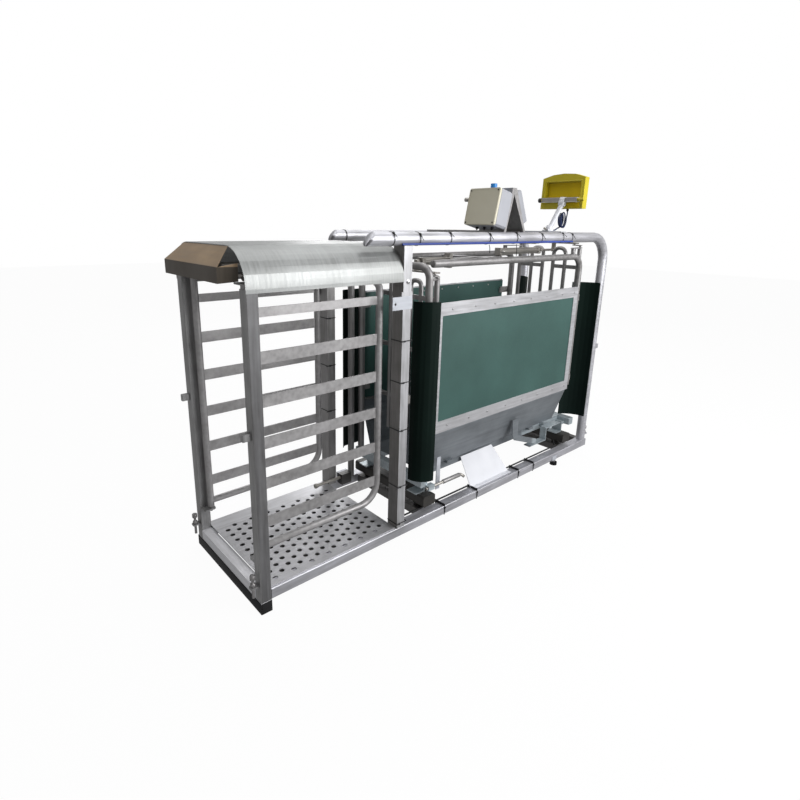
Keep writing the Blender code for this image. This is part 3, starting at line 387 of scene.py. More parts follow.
# Painted light and shade: the near post's metal is pale so that its near face reads lit, and its other faces
# are darkened.
post_metal = metal("post_metal", (0.30, 0.30, 0.305), (0.62, 0.62, 0.65), 0.45, UPRIGHT, metallic=0.6)
zone(post_metal, "Y", NEAR_FACE, BEHIND_FACE, (0.50, 0.48, 0.45))
visor_metal = metal("visor_sheet", (0.29, 0.205, 0.13), (0.50, 0.37, 0.24), 0.48, (1, 0.06, 0.06),
                    metallic=0.5)
lip_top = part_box("visor")[0].z + VISOR_LIP
zone(visor_metal, "Z", lip_top + 0.002, lip_top - 0.001, (0.20, 0.23, 0.28))
foot_metal = metal("foot_metal", (0.30, 0.30, 0.31), (0.55, 0.55, 0.58), 0.38, (1, 1, 0.2),
                   streak=120.0, metallic=0.7)
zone(foot_metal, "Z", PAD_TOP + 0.0005, PAD_TOP - 0.0005, (0.03, 0.03, 0.03))
OWN_FINISH = {
    "hood": metal("hood_sheet", (0.20, 0.205, 0.20), (0.35, 0.36, 0.36), 0.43, (1, 0.05, 0.05),
                  streak=120.0, metallic=0.65, bump=0.06),
    "valve_box": plastic("valve_grey", (0.30, 0.31, 0.34), (0.37, 0.38, 0.415), 0.4),
    # Painted light: the sill's sheet is much paler than the other sheet, so that its top reads lit.
    "exit_beam": metal("sill_metal", (0.62, 0.62, 0.64), (0.88, 0.88, 0.92), 0.40, ALONG_Y, metallic=0.3),
    "control_box": plastic("case_grey", (0.34, 0.35, 0.385), (0.42, 0.43, 0.47), 0.4),
    "visor": visor_metal, "base_frame": rail_metal, "crate_post_near": post_metal,
    "foot_near": foot_metal, "foot_far": foot_metal, "crate_tray": tray_metal, "crate_bearers": bearer_metal,
    "gate_near": gate_metal, "gate_far": gate_metal,
    "exit_post_near": exit_metal, "exit_post_far": exit_metal,
    "spine_tube_near": spine_metal, "spine_tube_far": spine_metal,
}
print(len(OWN_FINISH), "solids with a finish of their own")

# %% Finishes of the construction solids
SLENDER = 3.0
NODE_SLOT = {row["node"]: row["material_slot"] for row in frame["record"]["subparts"]}
for node, slot_name in NODE_SLOT.items():
    mesh = frame["nodes"][node].data
    mesh.materials.clear()
    low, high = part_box(node)
    long_x, _, long_z = high - low
    finish = FINISH[slot_name]
    if slot_name == "galvanised" and (long_x > SLENDER * long_z or long_z > SLENDER * long_x):
        finish = tube_along["x" if long_x > long_z else "z"]
    mesh.materials.append(OWN_FINISH.get(node, finish))
print(len(NODE_SLOT), "construction solids have a finish")

# %% [markdown]
# Small pieces are started from Blender's own primitives, shaped in edit mode, and laid at the origin with
# their place in the vertices. These helpers do the steps that repeat: pick, push, merge, copy, drill, and
# hand the piece to its body.

# %% Helpers for handling pieces


def alone(obj):
    """Only this object selected and active."""
    bpy.ops.object.select_all(action="DESELECT")
    obj.select_set(True)
    bpy.context.view_layer.objects.active = obj


def at(x, y, z):
    """Shift to a place."""
    return Matrix.Translation((x, y, z))


def turned(degrees, axis):
    """Turn about an axis through the origin."""
    return Matrix.Rotation(math.radians(degrees), 4, axis)


def settle(obj, name, mat, body="stand", smooth=30.0):
    """Name, place into the vertices, finish, shading, and the body it rides on."""
    alone(obj)
    obj.name = name
    bpy.ops.object.transform_apply(location=True, rotation=True, scale=True)
    bpy.ops.object.shade_smooth_by_angle(angle=math.radians(smooth))
    obj.data.materials.clear()
    obj.data.materials.append(mat)
    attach(obj, body)
    return obj


def pick(obj, test, kind="faces"):
    """The active piece in edit mode, with the faces (or edges) that pass a test selected."""
    if obj.mode != "EDIT":
        bpy.ops.object.mode_set(mode="EDIT")
    bm = bmesh.from_edit_mesh(obj.data)
    for item in getattr(bm, kind):
        item.select_set(test(item))
    bmesh.update_edit_mesh(obj.data)


def push(*step):
    """The picked faces moved by a step, with new sides behind them."""
    bpy.ops.mesh.extrude_region_move(TRANSFORM_OT_translate={"value": step})


def together(parts):
    """One object out of several."""
    bpy.ops.object.select_all(action="DESELECT")
    for part in parts:
        part.select_set(True)
    bpy.context.view_layer.objects.active = parts[0]
    bpy.ops.object.join()
    return bpy.context.object


def twin_of(obj):
    """Copy of a piece with a mesh of its own."""
    twin = obj.copy()
    twin.data = obj.data.copy()
    bpy.context.scene.collection.objects.link(twin)
    return twin


def copies(obj, name, places, mat):
    """The modelled piece once per place (a matrix), each with its own mesh; the model itself goes."""
    for number, place in enumerate(places, 1):
        twin = twin_of(obj)
        twin.data.transform(place)
        settle(twin, f"{name}_{number:02d}", mat)
    bpy.data.objects.remove(obj)


def scattered(obj, spots, z):
    """The modelled piece once per spot, all at one height and joined; the model itself goes."""
    twins = []
    for x, y in spots:
        twin = twin_of(obj)
        twin.location = (x, y, z)
        twins.append(twin)
    bpy.data.objects.remove(obj)
    return together(twins)


def drill(obj, cutter):
    """Holes made in a piece where a cutter goes through it; the cutter itself goes."""
    alone(obj)
    holes = obj.modifiers.new("holes", "BOOLEAN")
    holes.operation = "DIFFERENCE"
    holes.solver = "EXACT"
    holes.object = cutter
    bpy.ops.object.modifier_apply(modifier="holes")
    bpy.data.objects.remove(cutter)


print("handling ready")

# %% Helpers for shapes
ENDWAYS = 0.9  # A face whose normal has this much of an axis looks along it.


def bored(obj, thick, axis=2):
    """Passage through a piece along one axis: its two ends are inset by the wall and bridged."""
    pick(obj, lambda face: abs(face.normal[axis]) > ENDWAYS)
    bpy.ops.mesh.inset(thickness=thick)
    bpy.ops.mesh.bridge_edge_loops()
    bpy.ops.object.mode_set(mode="OBJECT")
    return obj


def block(low, high, bevel=0.001, segments=2):
    """Box between two corners with rounded edges."""
    low, high = Vector(low), Vector(high)
    bpy.ops.object.select_all(action="DESELECT")
    bpy.ops.mesh.primitive_cube_add(size=1.0, location=(low + high) / 2)
    obj = bpy.context.object
    obj.scale = high - low
    bpy.ops.object.transform_apply(location=True, rotation=False, scale=True)
    if bevel:
        bpy.ops.object.mode_set(mode="EDIT")
        bpy.ops.mesh.select_all(action="SELECT")
        bpy.ops.mesh.bevel(offset=bevel, segments=segments, affect="EDGES")
        bpy.ops.object.mode_set(mode="OBJECT")
    return obj


def round_bar(start, end, radius, sides=16, chamfer=0.0):
    """Round bar from one point to another, with chamfered ends."""
    start, end = Vector(start), Vector(end)
    along = end - start
    bpy.ops.object.select_all(action="DESELECT")
    bpy.ops.mesh.primitive_cylinder_add(vertices=sides, radius=radius, depth=along.length)
    obj = bpy.context.object
    if chamfer:
        pick(obj, lambda edge: any(abs(face.normal.z) > ENDWAYS for face in edge.link_faces), "edges")
        bpy.ops.mesh.bevel(offset=chamfer, segments=2, affect="EDGES")
        bpy.ops.object.mode_set(mode="OBJECT")
    obj.data.transform(along.to_track_quat("Z", "Y").to_matrix().to_4x4())
    obj.data.transform(Matrix.Translation((start + end) / 2))
    return obj


def ring(radius, thick, long, sides=28):
    """Short round sleeve along Z, around a given radius."""
    bpy.ops.object.select_all(action="DESELECT")
    bpy.ops.mesh.primitive_cylinder_add(vertices=sides, radius=radius + thick, depth=long)
    return bored(bpy.context.object, thick)


def run(points, radius, sides=8, bend=0.01):
    """Round tube, hose or wire along points, with its corners rounded by a bevelled poly line."""
    mesh = bpy.data.meshes.new("run")
    mesh.from_pydata([tuple(p) for p in points], [(i, i + 1) for i in range(len(points) - 1)], [])
    obj = bpy.data.objects.new("run", mesh)
    bpy.context.scene.collection.objects.link(obj)
    alone(obj)
    bpy.ops.object.mode_set(mode="EDIT")
    bpy.ops.mesh.select_all(action="SELECT")
    if bend and len(points) > 2:
        bpy.ops.mesh.bevel(offset=bend, segments=5, affect="VERTICES")
    bpy.ops.object.mode_set(mode="OBJECT")
    bpy.ops.object.convert(target="CURVE")
    obj = bpy.context.object
    obj.data.dimensions = "3D"
    obj.data.bevel_depth = radius
    obj.data.bevel_resolution = max(1, sides // 4 - 1)
    obj.data.use_fill_caps = True
    bpy.ops.object.convert(target="MESH")
    obj = bpy.context.object
    bpy.ops.object.mode_set(mode="EDIT")
    bpy.ops.mesh.select_all(action="SELECT")
    bpy.ops.mesh.remove_doubles(threshold=0.00005)
    bpy.ops.mesh.normals_make_consistent(inside=False)
    bpy.ops.object.mode_set(mode="OBJECT")
    return obj


print("shapes ready")

# %% [markdown]
# Rolled sheet and bent tube. On the real machine these bends are smooth, while the construction solids have
# flat facets. Each such piece gets a merged copy of its solid whose shading runs round the bends and stops
# at cut edges.

# %% Rolled sheet and bent tube


def rounded_copy(node):
    """Merged copy of a construction solid, shaded smoothly round its bends."""
    source = frame["nodes"][node]
    twin = bpy.data.objects.new(node, source.data.copy())
    bpy.context.scene.collection.objects.link(twin)
    alone(twin)
    bpy.ops.object.mode_set(mode="EDIT")
    bpy.ops.mesh.select_all(action="SELECT")
    bpy.ops.mesh.remove_doubles(threshold=0.00001)
    bpy.ops.object.mode_set(mode="OBJECT")
    settle(twin, f"{node}_rounded", source.data.materials[0], source.parent.name.split(":")[1], smooth=34.0)
    even = twin.modifiers.new("even_shading", "WEIGHTED_NORMAL")
    even.keep_sharp = True
    bpy.ops.object.modifier_apply(modifier="even_shading")
    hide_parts(node)


BENT = ["hood", "crate_exit_hoop", "mid_post_far", "exit_ram", "entry_ram", "indicator_post", "rail_hose",
        "spine_cable"]
for stem in ("spine_tube", "crate_tube", "gate", "exit_leaf", "entry_leaf", "gate_yoke", "gate_ram",
             "lock_bolt", "drop_pin_exit", "drop_pin_entry", "wing_exit", "wing_entry"):
    BENT += [f"{stem}_near", f"{stem}_far"]
for node in BENT:
    rounded_copy(node)
print(len(BENT), "rolled or bent pieces")

# %% [markdown]
# Cage floor. The real one is a sheet with round punched holes whose edges are pressed down, so that hoofs
# grip. It is built as a plate that is drilled by a row of round cutters, with a short pressed collar under
# every hole. The collars are nearly black, painted shade that makes the holes read dark.

# %% Punched floor
PITCH_X, PITCH_Y, HOLE_R, HOLE_SIDES = 0.047, 0.052, 0.0125, 20
FIRST_X, FIRST_Y, END_MARGIN, FAR_MARGIN = 0.0457, 0.040, 0.0297, 0.105
COLLAR_DEEP, COLLAR_WALL, COLLAR_LAP, CUTTER_LONG = 0.0150, 0.0016, 0.0004, 0.02
low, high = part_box("cage_floor")
plate = block(low, high, 0.0)
spots = []
column = 0
x = low.x + FIRST_X
while x < high.x - END_MARGIN:
    y = low.y + FIRST_Y + (PITCH_Y / 2 if column % 2 else 0)
    while y < high.y - FAR_MARGIN:
        spots.append((x, y))
        y += PITCH_Y
    x += PITCH_X
    column += 1
bpy.ops.mesh.primitive_cylinder_add(vertices=HOLE_SIDES, radius=HOLE_R, depth=CUTTER_LONG)
drill(plate, scattered(bpy.context.object, spots, high.z))
floor_sheet = settle(plate, "punched_floor", FINISH["brushed_sheet"])
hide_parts("cage_floor")
collar = ring(HOLE_R, COLLAR_WALL, COLLAR_DEEP, HOLE_SIDES)
# Painted shade: a nearly black metal for the collars, so that the holes read dark.
collar_shade = metal("stained_collar", (0.020, 0.020, 0.018), (0.060, 0.058, 0.052), 0.7, EVEN,
                streak=120.0, metallic=0.3)
collars = scattered(collar, spots, low.z + COLLAR_LAP - COLLAR_DEEP / 2)
settle(collars, "pressed_collars", collar_shade)
print(len(spots), "holes in the cage floor,", len(floor_sheet.data.polygons), "faces")

# %% [markdown]
# Exit beam. A black strip covers its outer face: painted shade, as that face lies in shade. Black caps close
# the open tube ends.

# %% Painted shade strip and caps of the exit beam
CLEAR_OF_GROUND, SHADE_STRIP_TOP, SHADE_STRIP_THICK, SHADE_STRIP_OVER = 0.0015, 0.0520, 0.003, 0.002
CAP_TOP, CAP_WIDE, CAP_THICK, CAP_LAP = 0.0525, 0.049, 0.0025, 0.0005
low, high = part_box("exit_beam")
shade_and_cap_black = FINISH["black_rubber"]
# Painted shade: a black strip over the beam's outer face.
shade_strip = block((low.x - SHADE_STRIP_THICK, low.y - SHADE_STRIP_OVER, CLEAR_OF_GROUND),
               (low.x + 0.0004, high.y + SHADE_STRIP_OVER, SHADE_STRIP_TOP), 0.0012)
settle(shade_strip, "exit_buffer", shade_and_cap_black)
for number, (y, side) in enumerate(((low.y, -1), (high.y, 1)), 1):
    y0, y1 = sorted((y + side * CAP_THICK, y - side * CAP_LAP))
    cap = block((low.x + 0.001, y0, CLEAR_OF_GROUND), (low.x + CAP_WIDE, y1, CAP_TOP), 0.0010)
    settle(cap, f"exit_beam_cap_{number:02d}", shade_and_cap_black)
print("buffer and two caps")

# %% [markdown]
# Cable ties. A flat nylon band runs round tube and cable, with a square lock head and a cut tail. One tie
# is made for the round spine tube and copied along it; the bands of the square tubes follow in the next
# step.

# %% Ties of the spine tube
SPINE_R, SPINE_Z, SPINE_FIT = 0.030, 1.53, 0.0003
SPINE_TIE_X = (-0.598, -0.442, -0.237, 0.056, 0.287, 0.523, 0.743, 0.843)
EVEN_TURN, ODD_TURN = -52, -38
FAR_TIE_X, FAR_TIE_TURN = -0.40, 60
nylon = plastic("black_nylon", (0.010, 0.010, 0.011), (0.018, 0.018, 0.020), 0.38)


def tie(radius, width=0.0048, thick=0.0014, tail=0.030):
    """Closed band round the X axis with its head and tail at the front, lower side."""
    band = ring(radius, thick, width)
    band.data.transform(turned(90, "Y"))
    head = block((-0.0042, -radius - 0.0062, -0.0050), (0.0042, -radius + 0.0002, 0.0050), 0.0008)
    strip = block((-width / 2, -radius - 0.0048, -0.0045 - tail), (width / 2, -radius - 0.0034, -0.0045),
                  0.0003, 1)
    return together([band, head, strip])


spine_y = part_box("spine_tube_near")[0].y + SPINE_R
far_spine_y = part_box("spine_tube_far")[1].y - SPINE_R
places = [at(x, spine_y, SPINE_Z) @ turned(ODD_TURN if number % 2 else EVEN_TURN, "X")
          for number, x in enumerate(SPINE_TIE_X)]
copies(tie(SPINE_R + SPINE_FIT), "spine_tie", places, nylon)
single = tie(SPINE_R + SPINE_FIT)
single.data.transform(at(FAR_TIE_X, far_spine_y, SPINE_Z) @ turned(FAR_TIE_TURN, "X"))
settle(single, "spine_tie_far", nylon)
print(len(places) + 1, "ties on the spine tubes")

# %% [markdown]
# Ties of the posts. The same nylon band, drawn tight, follows the corners of the post and takes the hose
# with it. It is a thin box whose two open sides are inset and bridged through, with its head and cut tail
# in front.

# %% Ties of the posts
POST_X0, POST_X1, POST_INNER_Y, FIT = -0.5405, -0.4905, 0.2600, 0.0004
HOSE_R, HOSE_SLACK = 0.0042, 0.0030
POST_TIE_Z, FAR_POST_TIE_Z = (1.074, 0.875, 0.635, 0.336, 0.130), (1.097, 0.832, 0.566)
hose_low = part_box("rail_hose")[0]


def post_tie(x1, y0, y1, z, name, width=0.0048, thick=0.0013):
    """Band round a square post and what lies beside it, with its head on the front."""
    x0 = POST_X0 - FIT
    band = block((x0 - thick, y0 - thick, z - width / 2), (x1 + thick, y1 + thick, z + width / 2), 0.0)
    bored(band, thick)
    head = block((x0 + 0.010, y0 - 0.0058, z - 0.0042), (x0 + 0.019, y0 - 0.0002, z + 0.0042), 0.0008)
    tail = block((x0 - 0.014, y0 - 0.0046, z - width / 2), (x0 + 0.011, y0 - 0.0034, z + width / 2),
                 0.0003, 1)
    settle(together([band, head, tail]), name, nylon)


hose_x1 = hose_low.x + 2 * HOSE_R + HOSE_SLACK
for number, z in enumerate(POST_TIE_Z, 1):
    post_tie(hose_x1, -OUTER_Y - FIT, FIT - POST_INNER_Y, z, f"post_tie_{number:02d}")
for number, z in enumerate(FAR_POST_TIE_Z, 1):
    post_tie(POST_X1 + FIT, POST_INNER_Y - FIT, OUTER_Y + FIT, z, f"far_post_tie_{number:02d}")
print(len(POST_TIE_Z) + len(FAR_POST_TIE_Z), "ties on the posts")

# %% [markdown]
# Ties of the rail, and what hangs. Bands hold the hose to the rail, two long tails hang from ties of the
# spine, and a blue joint sits on the hose above the rail.

# %% Ties of the rail
RAIL_BOTTOM = 0.0550
RAIL_TIE_X = (-0.185, 0.091, 0.498, 0.662)
BAND_Y0, BAND_Y1 = -OUTER_Y - FIT, 0.0110 - RAIL_INNER_Y
BAND_Z0, BAND_Z1 = RAIL_BOTTOM - FIT, RAIL_TOP + 0.0015
TAIL_Y, TAIL_Z = -0.3225, 1.4985
TAILS = ((0.056, 0.040), (0.287, 0.062))
JOINT_Z = 0.150


def rail_tie(x, name, width=0.0036, thick=0.0011):
    """Band round the rail and the hose on it, with its head in front and its tail hanging."""
    x0, x1 = x - width / 2, x + width / 2
    band = block((x0, BAND_Y0 - thick, BAND_Z0 - thick), (x1, BAND_Y1 + thick, BAND_Z1 + thick), 0.0)
    bored(band, thick, axis=0)
    head = block((x - 0.0045, BAND_Y0 - 0.0060, BAND_Z1 - 0.024),
                 (x + 0.0045, BAND_Y0 - 0.0002, BAND_Z1 - 0.014), 0.0008)
    tail = block((x0, BAND_Y0 - 0.0050, BAND_Z1 - 0.046), (x1, BAND_Y0 - 0.0036, BAND_Z1 - 0.020), 0.0003, 1)
    settle(together([band, head, tail]), name, nylon)


for number, x in enumerate(RAIL_TIE_X, 1):
    rail_tie(x, f"rail_tie_{number:02d}")
for number, (x, deep) in enumerate(TAILS, 1):
    points = [(x, TAIL_Y, TAIL_Z), (x + 0.003, TAIL_Y - 0.0035, TAIL_Z - deep / 2),
              (x + 0.011, TAIL_Y + 0.0025, TAIL_Z - deep)]
    settle(run(points, 0.0021, bend=0.010), f"hanging_tail_{number:02d}", nylon)
joint = ring(0.0046, 0.0034, 0.026, 20)
joint.data.transform(at(hose_low.x + HOSE_R, hose_low.y + HOSE_R, JOINT_Z))
settle(joint, "hose_joint", plastic("joint_blue", (0.010, 0.10, 0.42), (0.015, 0.14, 0.52), 0.35))
print(len(RAIL_TIE_X), "ties on the rail,", len(TAILS), "hanging tails and the hose joint")

# %% [markdown]
# Screws. Pan-head screws hold the metal edging to the green sheets along its top and bottom, and a row of
# them shows on the inner side of the far sheet.

# %% Screws
EDGING_X = (-0.167, 0.012, 0.172, 0.343, 0.509, 0.675, 0.845, 0.985)
FAR_SHEET_X = (-0.1, 0.06, 0.22, 0.385, 0.542, 0.697, 0.86)
steel = metal("screw_steel", (0.34, 0.34, 0.35), (0.62, 0.62, 0.63), 0.3, EVEN, streak=200.0, metallic=0.85)


def pan_screw(radius=0.0052, high=0.0030):
    """Pan head that points towards -Y, its foot on the plane y = 0."""
    bpy.ops.object.select_all(action="DESELECT")
    bpy.ops.mesh.primitive_cylinder_add(vertices=16, radius=radius, depth=high)
    head = bpy.context.object
    pick(head, lambda edge: all(v.co.z > 0 for v in edge.verts), "edges")
    bpy.ops.mesh.bevel(offset=high * 0.55, segments=3, affect="EDGES")
    pick(head, lambda face: face.normal.z > 0.99)
    bpy.ops.mesh.inset(thickness=radius * 0.12)
    push(0, 0, -high * 0.3)
    bpy.ops.object.mode_set(mode="OBJECT")
    head.data.transform(at(0, 0, high / 2))
    head.data.transform(turned(90, "X"))
    return head


half_turn = turned(180, "Z")
trim_low, trim_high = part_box("crate_trim_near")
edging_z = (trim_high.z - 0.036, trim_low.z + 0.032)
copies(pan_screw(), "trim_screw", [at(x, trim_low.y, z) for x in EDGING_X for z in edging_z], steel)
sheet_low, sheet_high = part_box("crate_side_far")
places = [at(x, sheet_low.y, sheet_high.z - 0.022) for x in FAR_SHEET_X]
copies(pan_screw(), "far_sheet_screw", places, steel)
far_trim_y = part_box("crate_trim_far")[1].y
places = [at(x, far_trim_y, z) @ half_turn for x in EDGING_X for z in edging_z]
copies(pan_screw(), "far_trim_screw", places, steel)
print(4 * len(EDGING_X) + len(FAR_SHEET_X), "screws")

# %% [markdown]
# Bolts. Hexagon bolts on washers hold the latch plates to the posts, one on the near post and two on the
# far one.

# %% Bolts


def hex_bolt(flat=0.013, high=0.0055):
    """Hexagon head on a washer, pointing towards -Y from the plane y = 0."""
    bpy.ops.object.select_all(action="DESELECT")
    bpy.ops.mesh.primitive_cylinder_add(vertices=6, radius=flat / 1.732, depth=high,
                                        location=(0, 0, 0.0012 + high / 2))
    head = bpy.context.object
    bpy.ops.object.transform_apply(location=True)
    pick(head, lambda edge: all(v.co.z > high for v in edge.verts), "edges")
    bpy.ops.mesh.bevel(offset=0.0009, segments=2, affect="EDGES")
    bpy.ops.object.mode_set(mode="OBJECT")
    washer = round_bar((0, 0, 0), (0, 0, 0.0014), flat * 0.86, 20, 0.0003)
    both = together([head, washer])
    both.data.transform(turned(90, "X"))
    return both


latch_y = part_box("crate_post_near")[0].y
copies(hex_bolt(), "latch_bolt", [at(-0.513, latch_y + 0.0028, 1.345)], steel)
places = [at(-0.532, -latch_y, 1.272) @ half_turn, at(-0.505, -latch_y, 1.245) @ half_turn]
copies(hex_bolt(), "far_latch_bolt", places, steel)
print(1 + len(places), "latch bolts")

# %% [markdown]
# Catch plate. A pale zinc plate lies over the latch of the near post and reaches past it towards the cage,
# with a hole for the gate's pin at its free end. It is a thin block with a shallow pressed field, drilled
# by a round cutter.

# %% Catch plate of the near gate
CATCH_X0, CATCH_X1, CATCH_Z0, CATCH_Z1 = -0.607, -0.4882, 1.222, 1.281
PIN_X, PIN_Z, PIN_R = -0.590, 1.249, 0.0062
zinc = metal("pale_zinc", (0.43, 0.45, 0.49), (0.58, 0.60, 0.65), 0.42, (0.1, 1, 1), metallic=0.3)
catch = block((CATCH_X0, latch_y - 0.0018, CATCH_Z0), (CATCH_X1, latch_y + 0.0012, CATCH_Z1), 0.0)
pick(catch, lambda face: face.normal.y < -0.99)
bpy.ops.mesh.inset(thickness=0.007)
bpy.ops.mesh.inset(thickness=0.0015)
push(0, 0.0009, 0)
bpy.ops.object.mode_set(mode="OBJECT")
drill(catch, round_bar((PIN_X, latch_y - 0.01, PIN_Z), (PIN_X, latch_y + 0.01, PIN_Z), PIN_R, 20))
settle(catch, "catch_plate", zinc)
print("catch plate", len(catch.data.polygons), "faces")

# %% [markdown]
# Crate side bracket and bolt grip. A flat upright is welded to the tray near its exit corner, and the near
# lock bolt carries a thick grip tube. Small plates outside the rails cover the studs of the levelling feet.

# %% Side bracket, bolt grip and foot plates
BRACKET_LOW, BRACKET_HIGH = (-0.190, -0.2625, 0.178), (-0.160, -0.2575, 0.368)
GRIP_X0, GRIP_X1, GRIP_R = -0.165, -0.030, 0.0118
FOOT_PLATE_X0, FOOT_PLATE_X1, FOOT_PLATE_Z0, FOOT_PLATE_Z1 = 0.886, 0.936, 0.0555, 0.0860
settle(block(BRACKET_LOW, BRACKET_HIGH, 0.0012), "side_bracket", zinc)
bolt_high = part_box("lock_bolt_near")[1]
bolt_y, bolt_z = bolt_high.y - 0.0078, bolt_high.z - 0.0080
grip = round_bar((GRIP_X0, bolt_y, bolt_z), (GRIP_X1, bolt_y, bolt_z), GRIP_R, 24, 0.0015)
settle(grip, "bolt_grip", FINISH["galvanised"], "lock_bolt_near")
for number, side in enumerate((-1, 1), 1):
    y0, y1 = sorted((side * (OUTER_Y - 0.0002), side * (OUTER_Y + 0.0045)))
    foot_plate = block((FOOT_PLATE_X0, y0, FOOT_PLATE_Z0), (FOOT_PLATE_X1, y1, FOOT_PLATE_Z1), 0.0012)
    settle(foot_plate, f"foot_plate_{number:02d}", zinc)
print("bolt axis", round(bolt_y, 4), round(bolt_z, 4))

# %% [markdown]
# Control box. A moulded case with a lid: the lid stands proud of the case behind a shadow gap, with four
# screws, a blue push button on top, a long cable gland at its left and three short ones below. Most pieces
# are built upright, with x out of the lid, y across and z up, and are then leant back with the case.

# %% Lid of the control box
OUT, UP = Vector((-0.9779, 0.0, 0.2089)), Vector((0.2089, 0.0, 0.9779))
CASE_CORNER = Vector((0.2095, -0.10, 1.5603)) + UP * 0.014 + OUT * 0.0003
LEAN = Matrix.Translation(CASE_CORNER) @ Matrix((OUT, Vector((0, -1, 0)), UP)).transposed().to_4x4()
CASE_WIDE, CASE_HIGH, LID_IN, SEAL_IN, SCREW_IN = 0.200, 0.190, 0.0005, 0.004, 0.012
SEAL_BACK, SEAL_FRONT, LID_BACK, LID_FRONT = 0.0885, 0.0925, 0.0915, 0.1050


def on_case(obj, name, mat):
    """Piece built upright in the case's own directions, then leant onto it."""
    obj.data.transform(LEAN)
    settle(obj, name, mat)


seal = block((SEAL_BACK, SEAL_IN, SEAL_IN), (SEAL_FRONT, CASE_WIDE - SEAL_IN, CASE_HIGH - SEAL_IN), 0.002)
on_case(seal, "control_lid_seal", FINISH["black_rubber"])
lid = block((LID_BACK, LID_IN, LID_IN), (LID_FRONT, CASE_WIDE - LID_IN, CASE_HIGH - LID_IN), 0.0)
pick(lid, lambda edge: abs(edge.verts[0].co.x - edge.verts[1].co.x) > 0.005, "edges")
bpy.ops.mesh.bevel(offset=0.010, segments=4, affect="EDGES")
pick(lid, lambda face: face.normal.x > 0.99)
bpy.ops.mesh.inset(thickness=0.0022)
push(0.0018, 0, 0)
bpy.ops.mesh.inset(thickness=0.005)
push(-0.0010, 0, 0)
bpy.ops.object.mode_set(mode="OBJECT")
on_case(lid, "control_lid", FINISH["beige_case"])
corners = [(y, z) for z in (SCREW_IN, CASE_HIGH - SCREW_IN) for y in (SCREW_IN, CASE_WIDE - SCREW_IN)]
for number, (y, z) in enumerate(corners, 1):
    screw = pan_screw(0.0040, 0.0024)
    screw.data.transform(turned(90, "Z"))
    screw.data.transform(at(LID_FRONT + 0.0016, y, z))
    on_case(screw, f"control_lid_screw_{number:02d}", FINISH["dark_steel"])
print("seal, lid and", len(corners), "screws")

# %% Button and glands of the control box
BUTTON_X, BUTTON_Y, BUTTON_R, BUTTON_UP = 0.1995, -0.215, 0.0172, 0.0165
COLLAR_R, COLLAR_UP, COLLAR_DOWN = 0.0195, -0.0160, -0.0215
case_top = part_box("control_box")[1].z
button_blue = plastic("button_blue", (0.01, 0.17, 0.50), (0.015, 0.22, 0.60), 0.3)


def button_part(z0, z1, radius, chamfer):
    """Round part of the push button, from z0 to z1 over the top of the case."""
    foot, top = (BUTTON_X, BUTTON_Y, case_top + z0), (BUTTON_X, BUTTON_Y, case_top + z1)
    return round_bar(foot, top, radius, 24, chamfer)


def gland(radius=0.0095, long=0.016):
    """Cable gland that points along -Y: hexagon, dome nut and a plug in its mouth."""
    nut = round_bar((0, 0, 0), (0, -0.006, 0), radius, 6, 0.0006)
    dome = round_bar((0, -0.0055, 0), (0, -long, 0), radius * 0.86, 20, 0.0025)
    plug = round_bar((0, -long + 0.001, 0), (0, -long - 0.004, 0), radius * 0.45, 14, 0.0008)
    return together([nut, dome, plug])


settle(button_part(COLLAR_UP, BUTTON_UP, BUTTON_R, 0.003), "control_button", button_blue)
settle(button_part(COLLAR_DOWN, COLLAR_UP, COLLAR_R, 0.001), "control_button_ring", FINISH["black_rubber"])
side_gland = gland(0.0130, 0.038)
side_gland.data.transform(at(0.086, LID_IN, 0.137))
on_case(side_gland, "control_gland_01", FINISH["cylinder_metal"])
for number, y in enumerate((0.050, 0.100, 0.150), 2):
    low_gland = gland(0.0085, 0.012)
    low_gland.data.transform(turned(90, "X"))
    low_gland.data.transform(at(0.050, y, -0.0004))
    on_case(low_gland, f"control_gland_{number:02d}", FINISH["black_rubber"])
print("button and", number, "glands")

# %% [markdown]
# Display. The olive-yellow case is seen from its back: a shallow recess with a raised inner frame, a
# battery cover, and two bright channels that grip the round bar. A hand knob locks the tilt and a blue
# plug feeds it.

# %% Back of the display
DISPLAY = "indicator_case"
BACK_X = 0.9395
FRAME_LOW, FRAME_HIGH = (0.9625, -0.284, 1.770), (0.9662, -0.062, 1.854)
LIP_Y0, LIP_Y1, LIP_Z0, LIP_Z1, LIP_R = -0.298, -0.046, 1.7635, 1.8640, 0.0018
COVER_Y0, COVER_Y1, COVER_Z0, COVER_Z1 = -0.290, -0.212, 1.7065, 1.7375
LATCH_Y0, LATCH_Y1 = -0.258, -0.244
olive = plastic("olive_case", (0.54, 0.39, 0.004), (0.68, 0.49, 0.006), 0.45, shine=0.2)
panel = block(FRAME_LOW, FRAME_HIGH, 0.0)
pick(panel, lambda face: face.normal.x < -0.99)
bpy.ops.mesh.inset(thickness=0.010)
push(0.0025, 0, 0)
bpy.ops.object.mode_set(mode="OBJECT")
settle(panel, "display_recess_frame", olive, DISPLAY)
cover = block((BACK_X - 0.0016, COVER_Y0, COVER_Z0), (BACK_X + 0.0006, COVER_Y1, COVER_Z1), 0.0006)
settle(cover, "display_battery_cover", olive, DISPLAY)
latch = block((BACK_X - 0.0030, LATCH_Y0, COVER_Z1 - 0.004), (BACK_X - 0.0010, LATCH_Y1, COVER_Z1 + 0.001),
              0.0005)
settle(latch, "display_cover_latch", olive, DISPLAY)
corners = ((LIP_Y0, LIP_Z1), (LIP_Y0, LIP_Z0), (LIP_Y1, LIP_Z0), (LIP_Y1, LIP_Z1), (LIP_Y0, LIP_Z1))
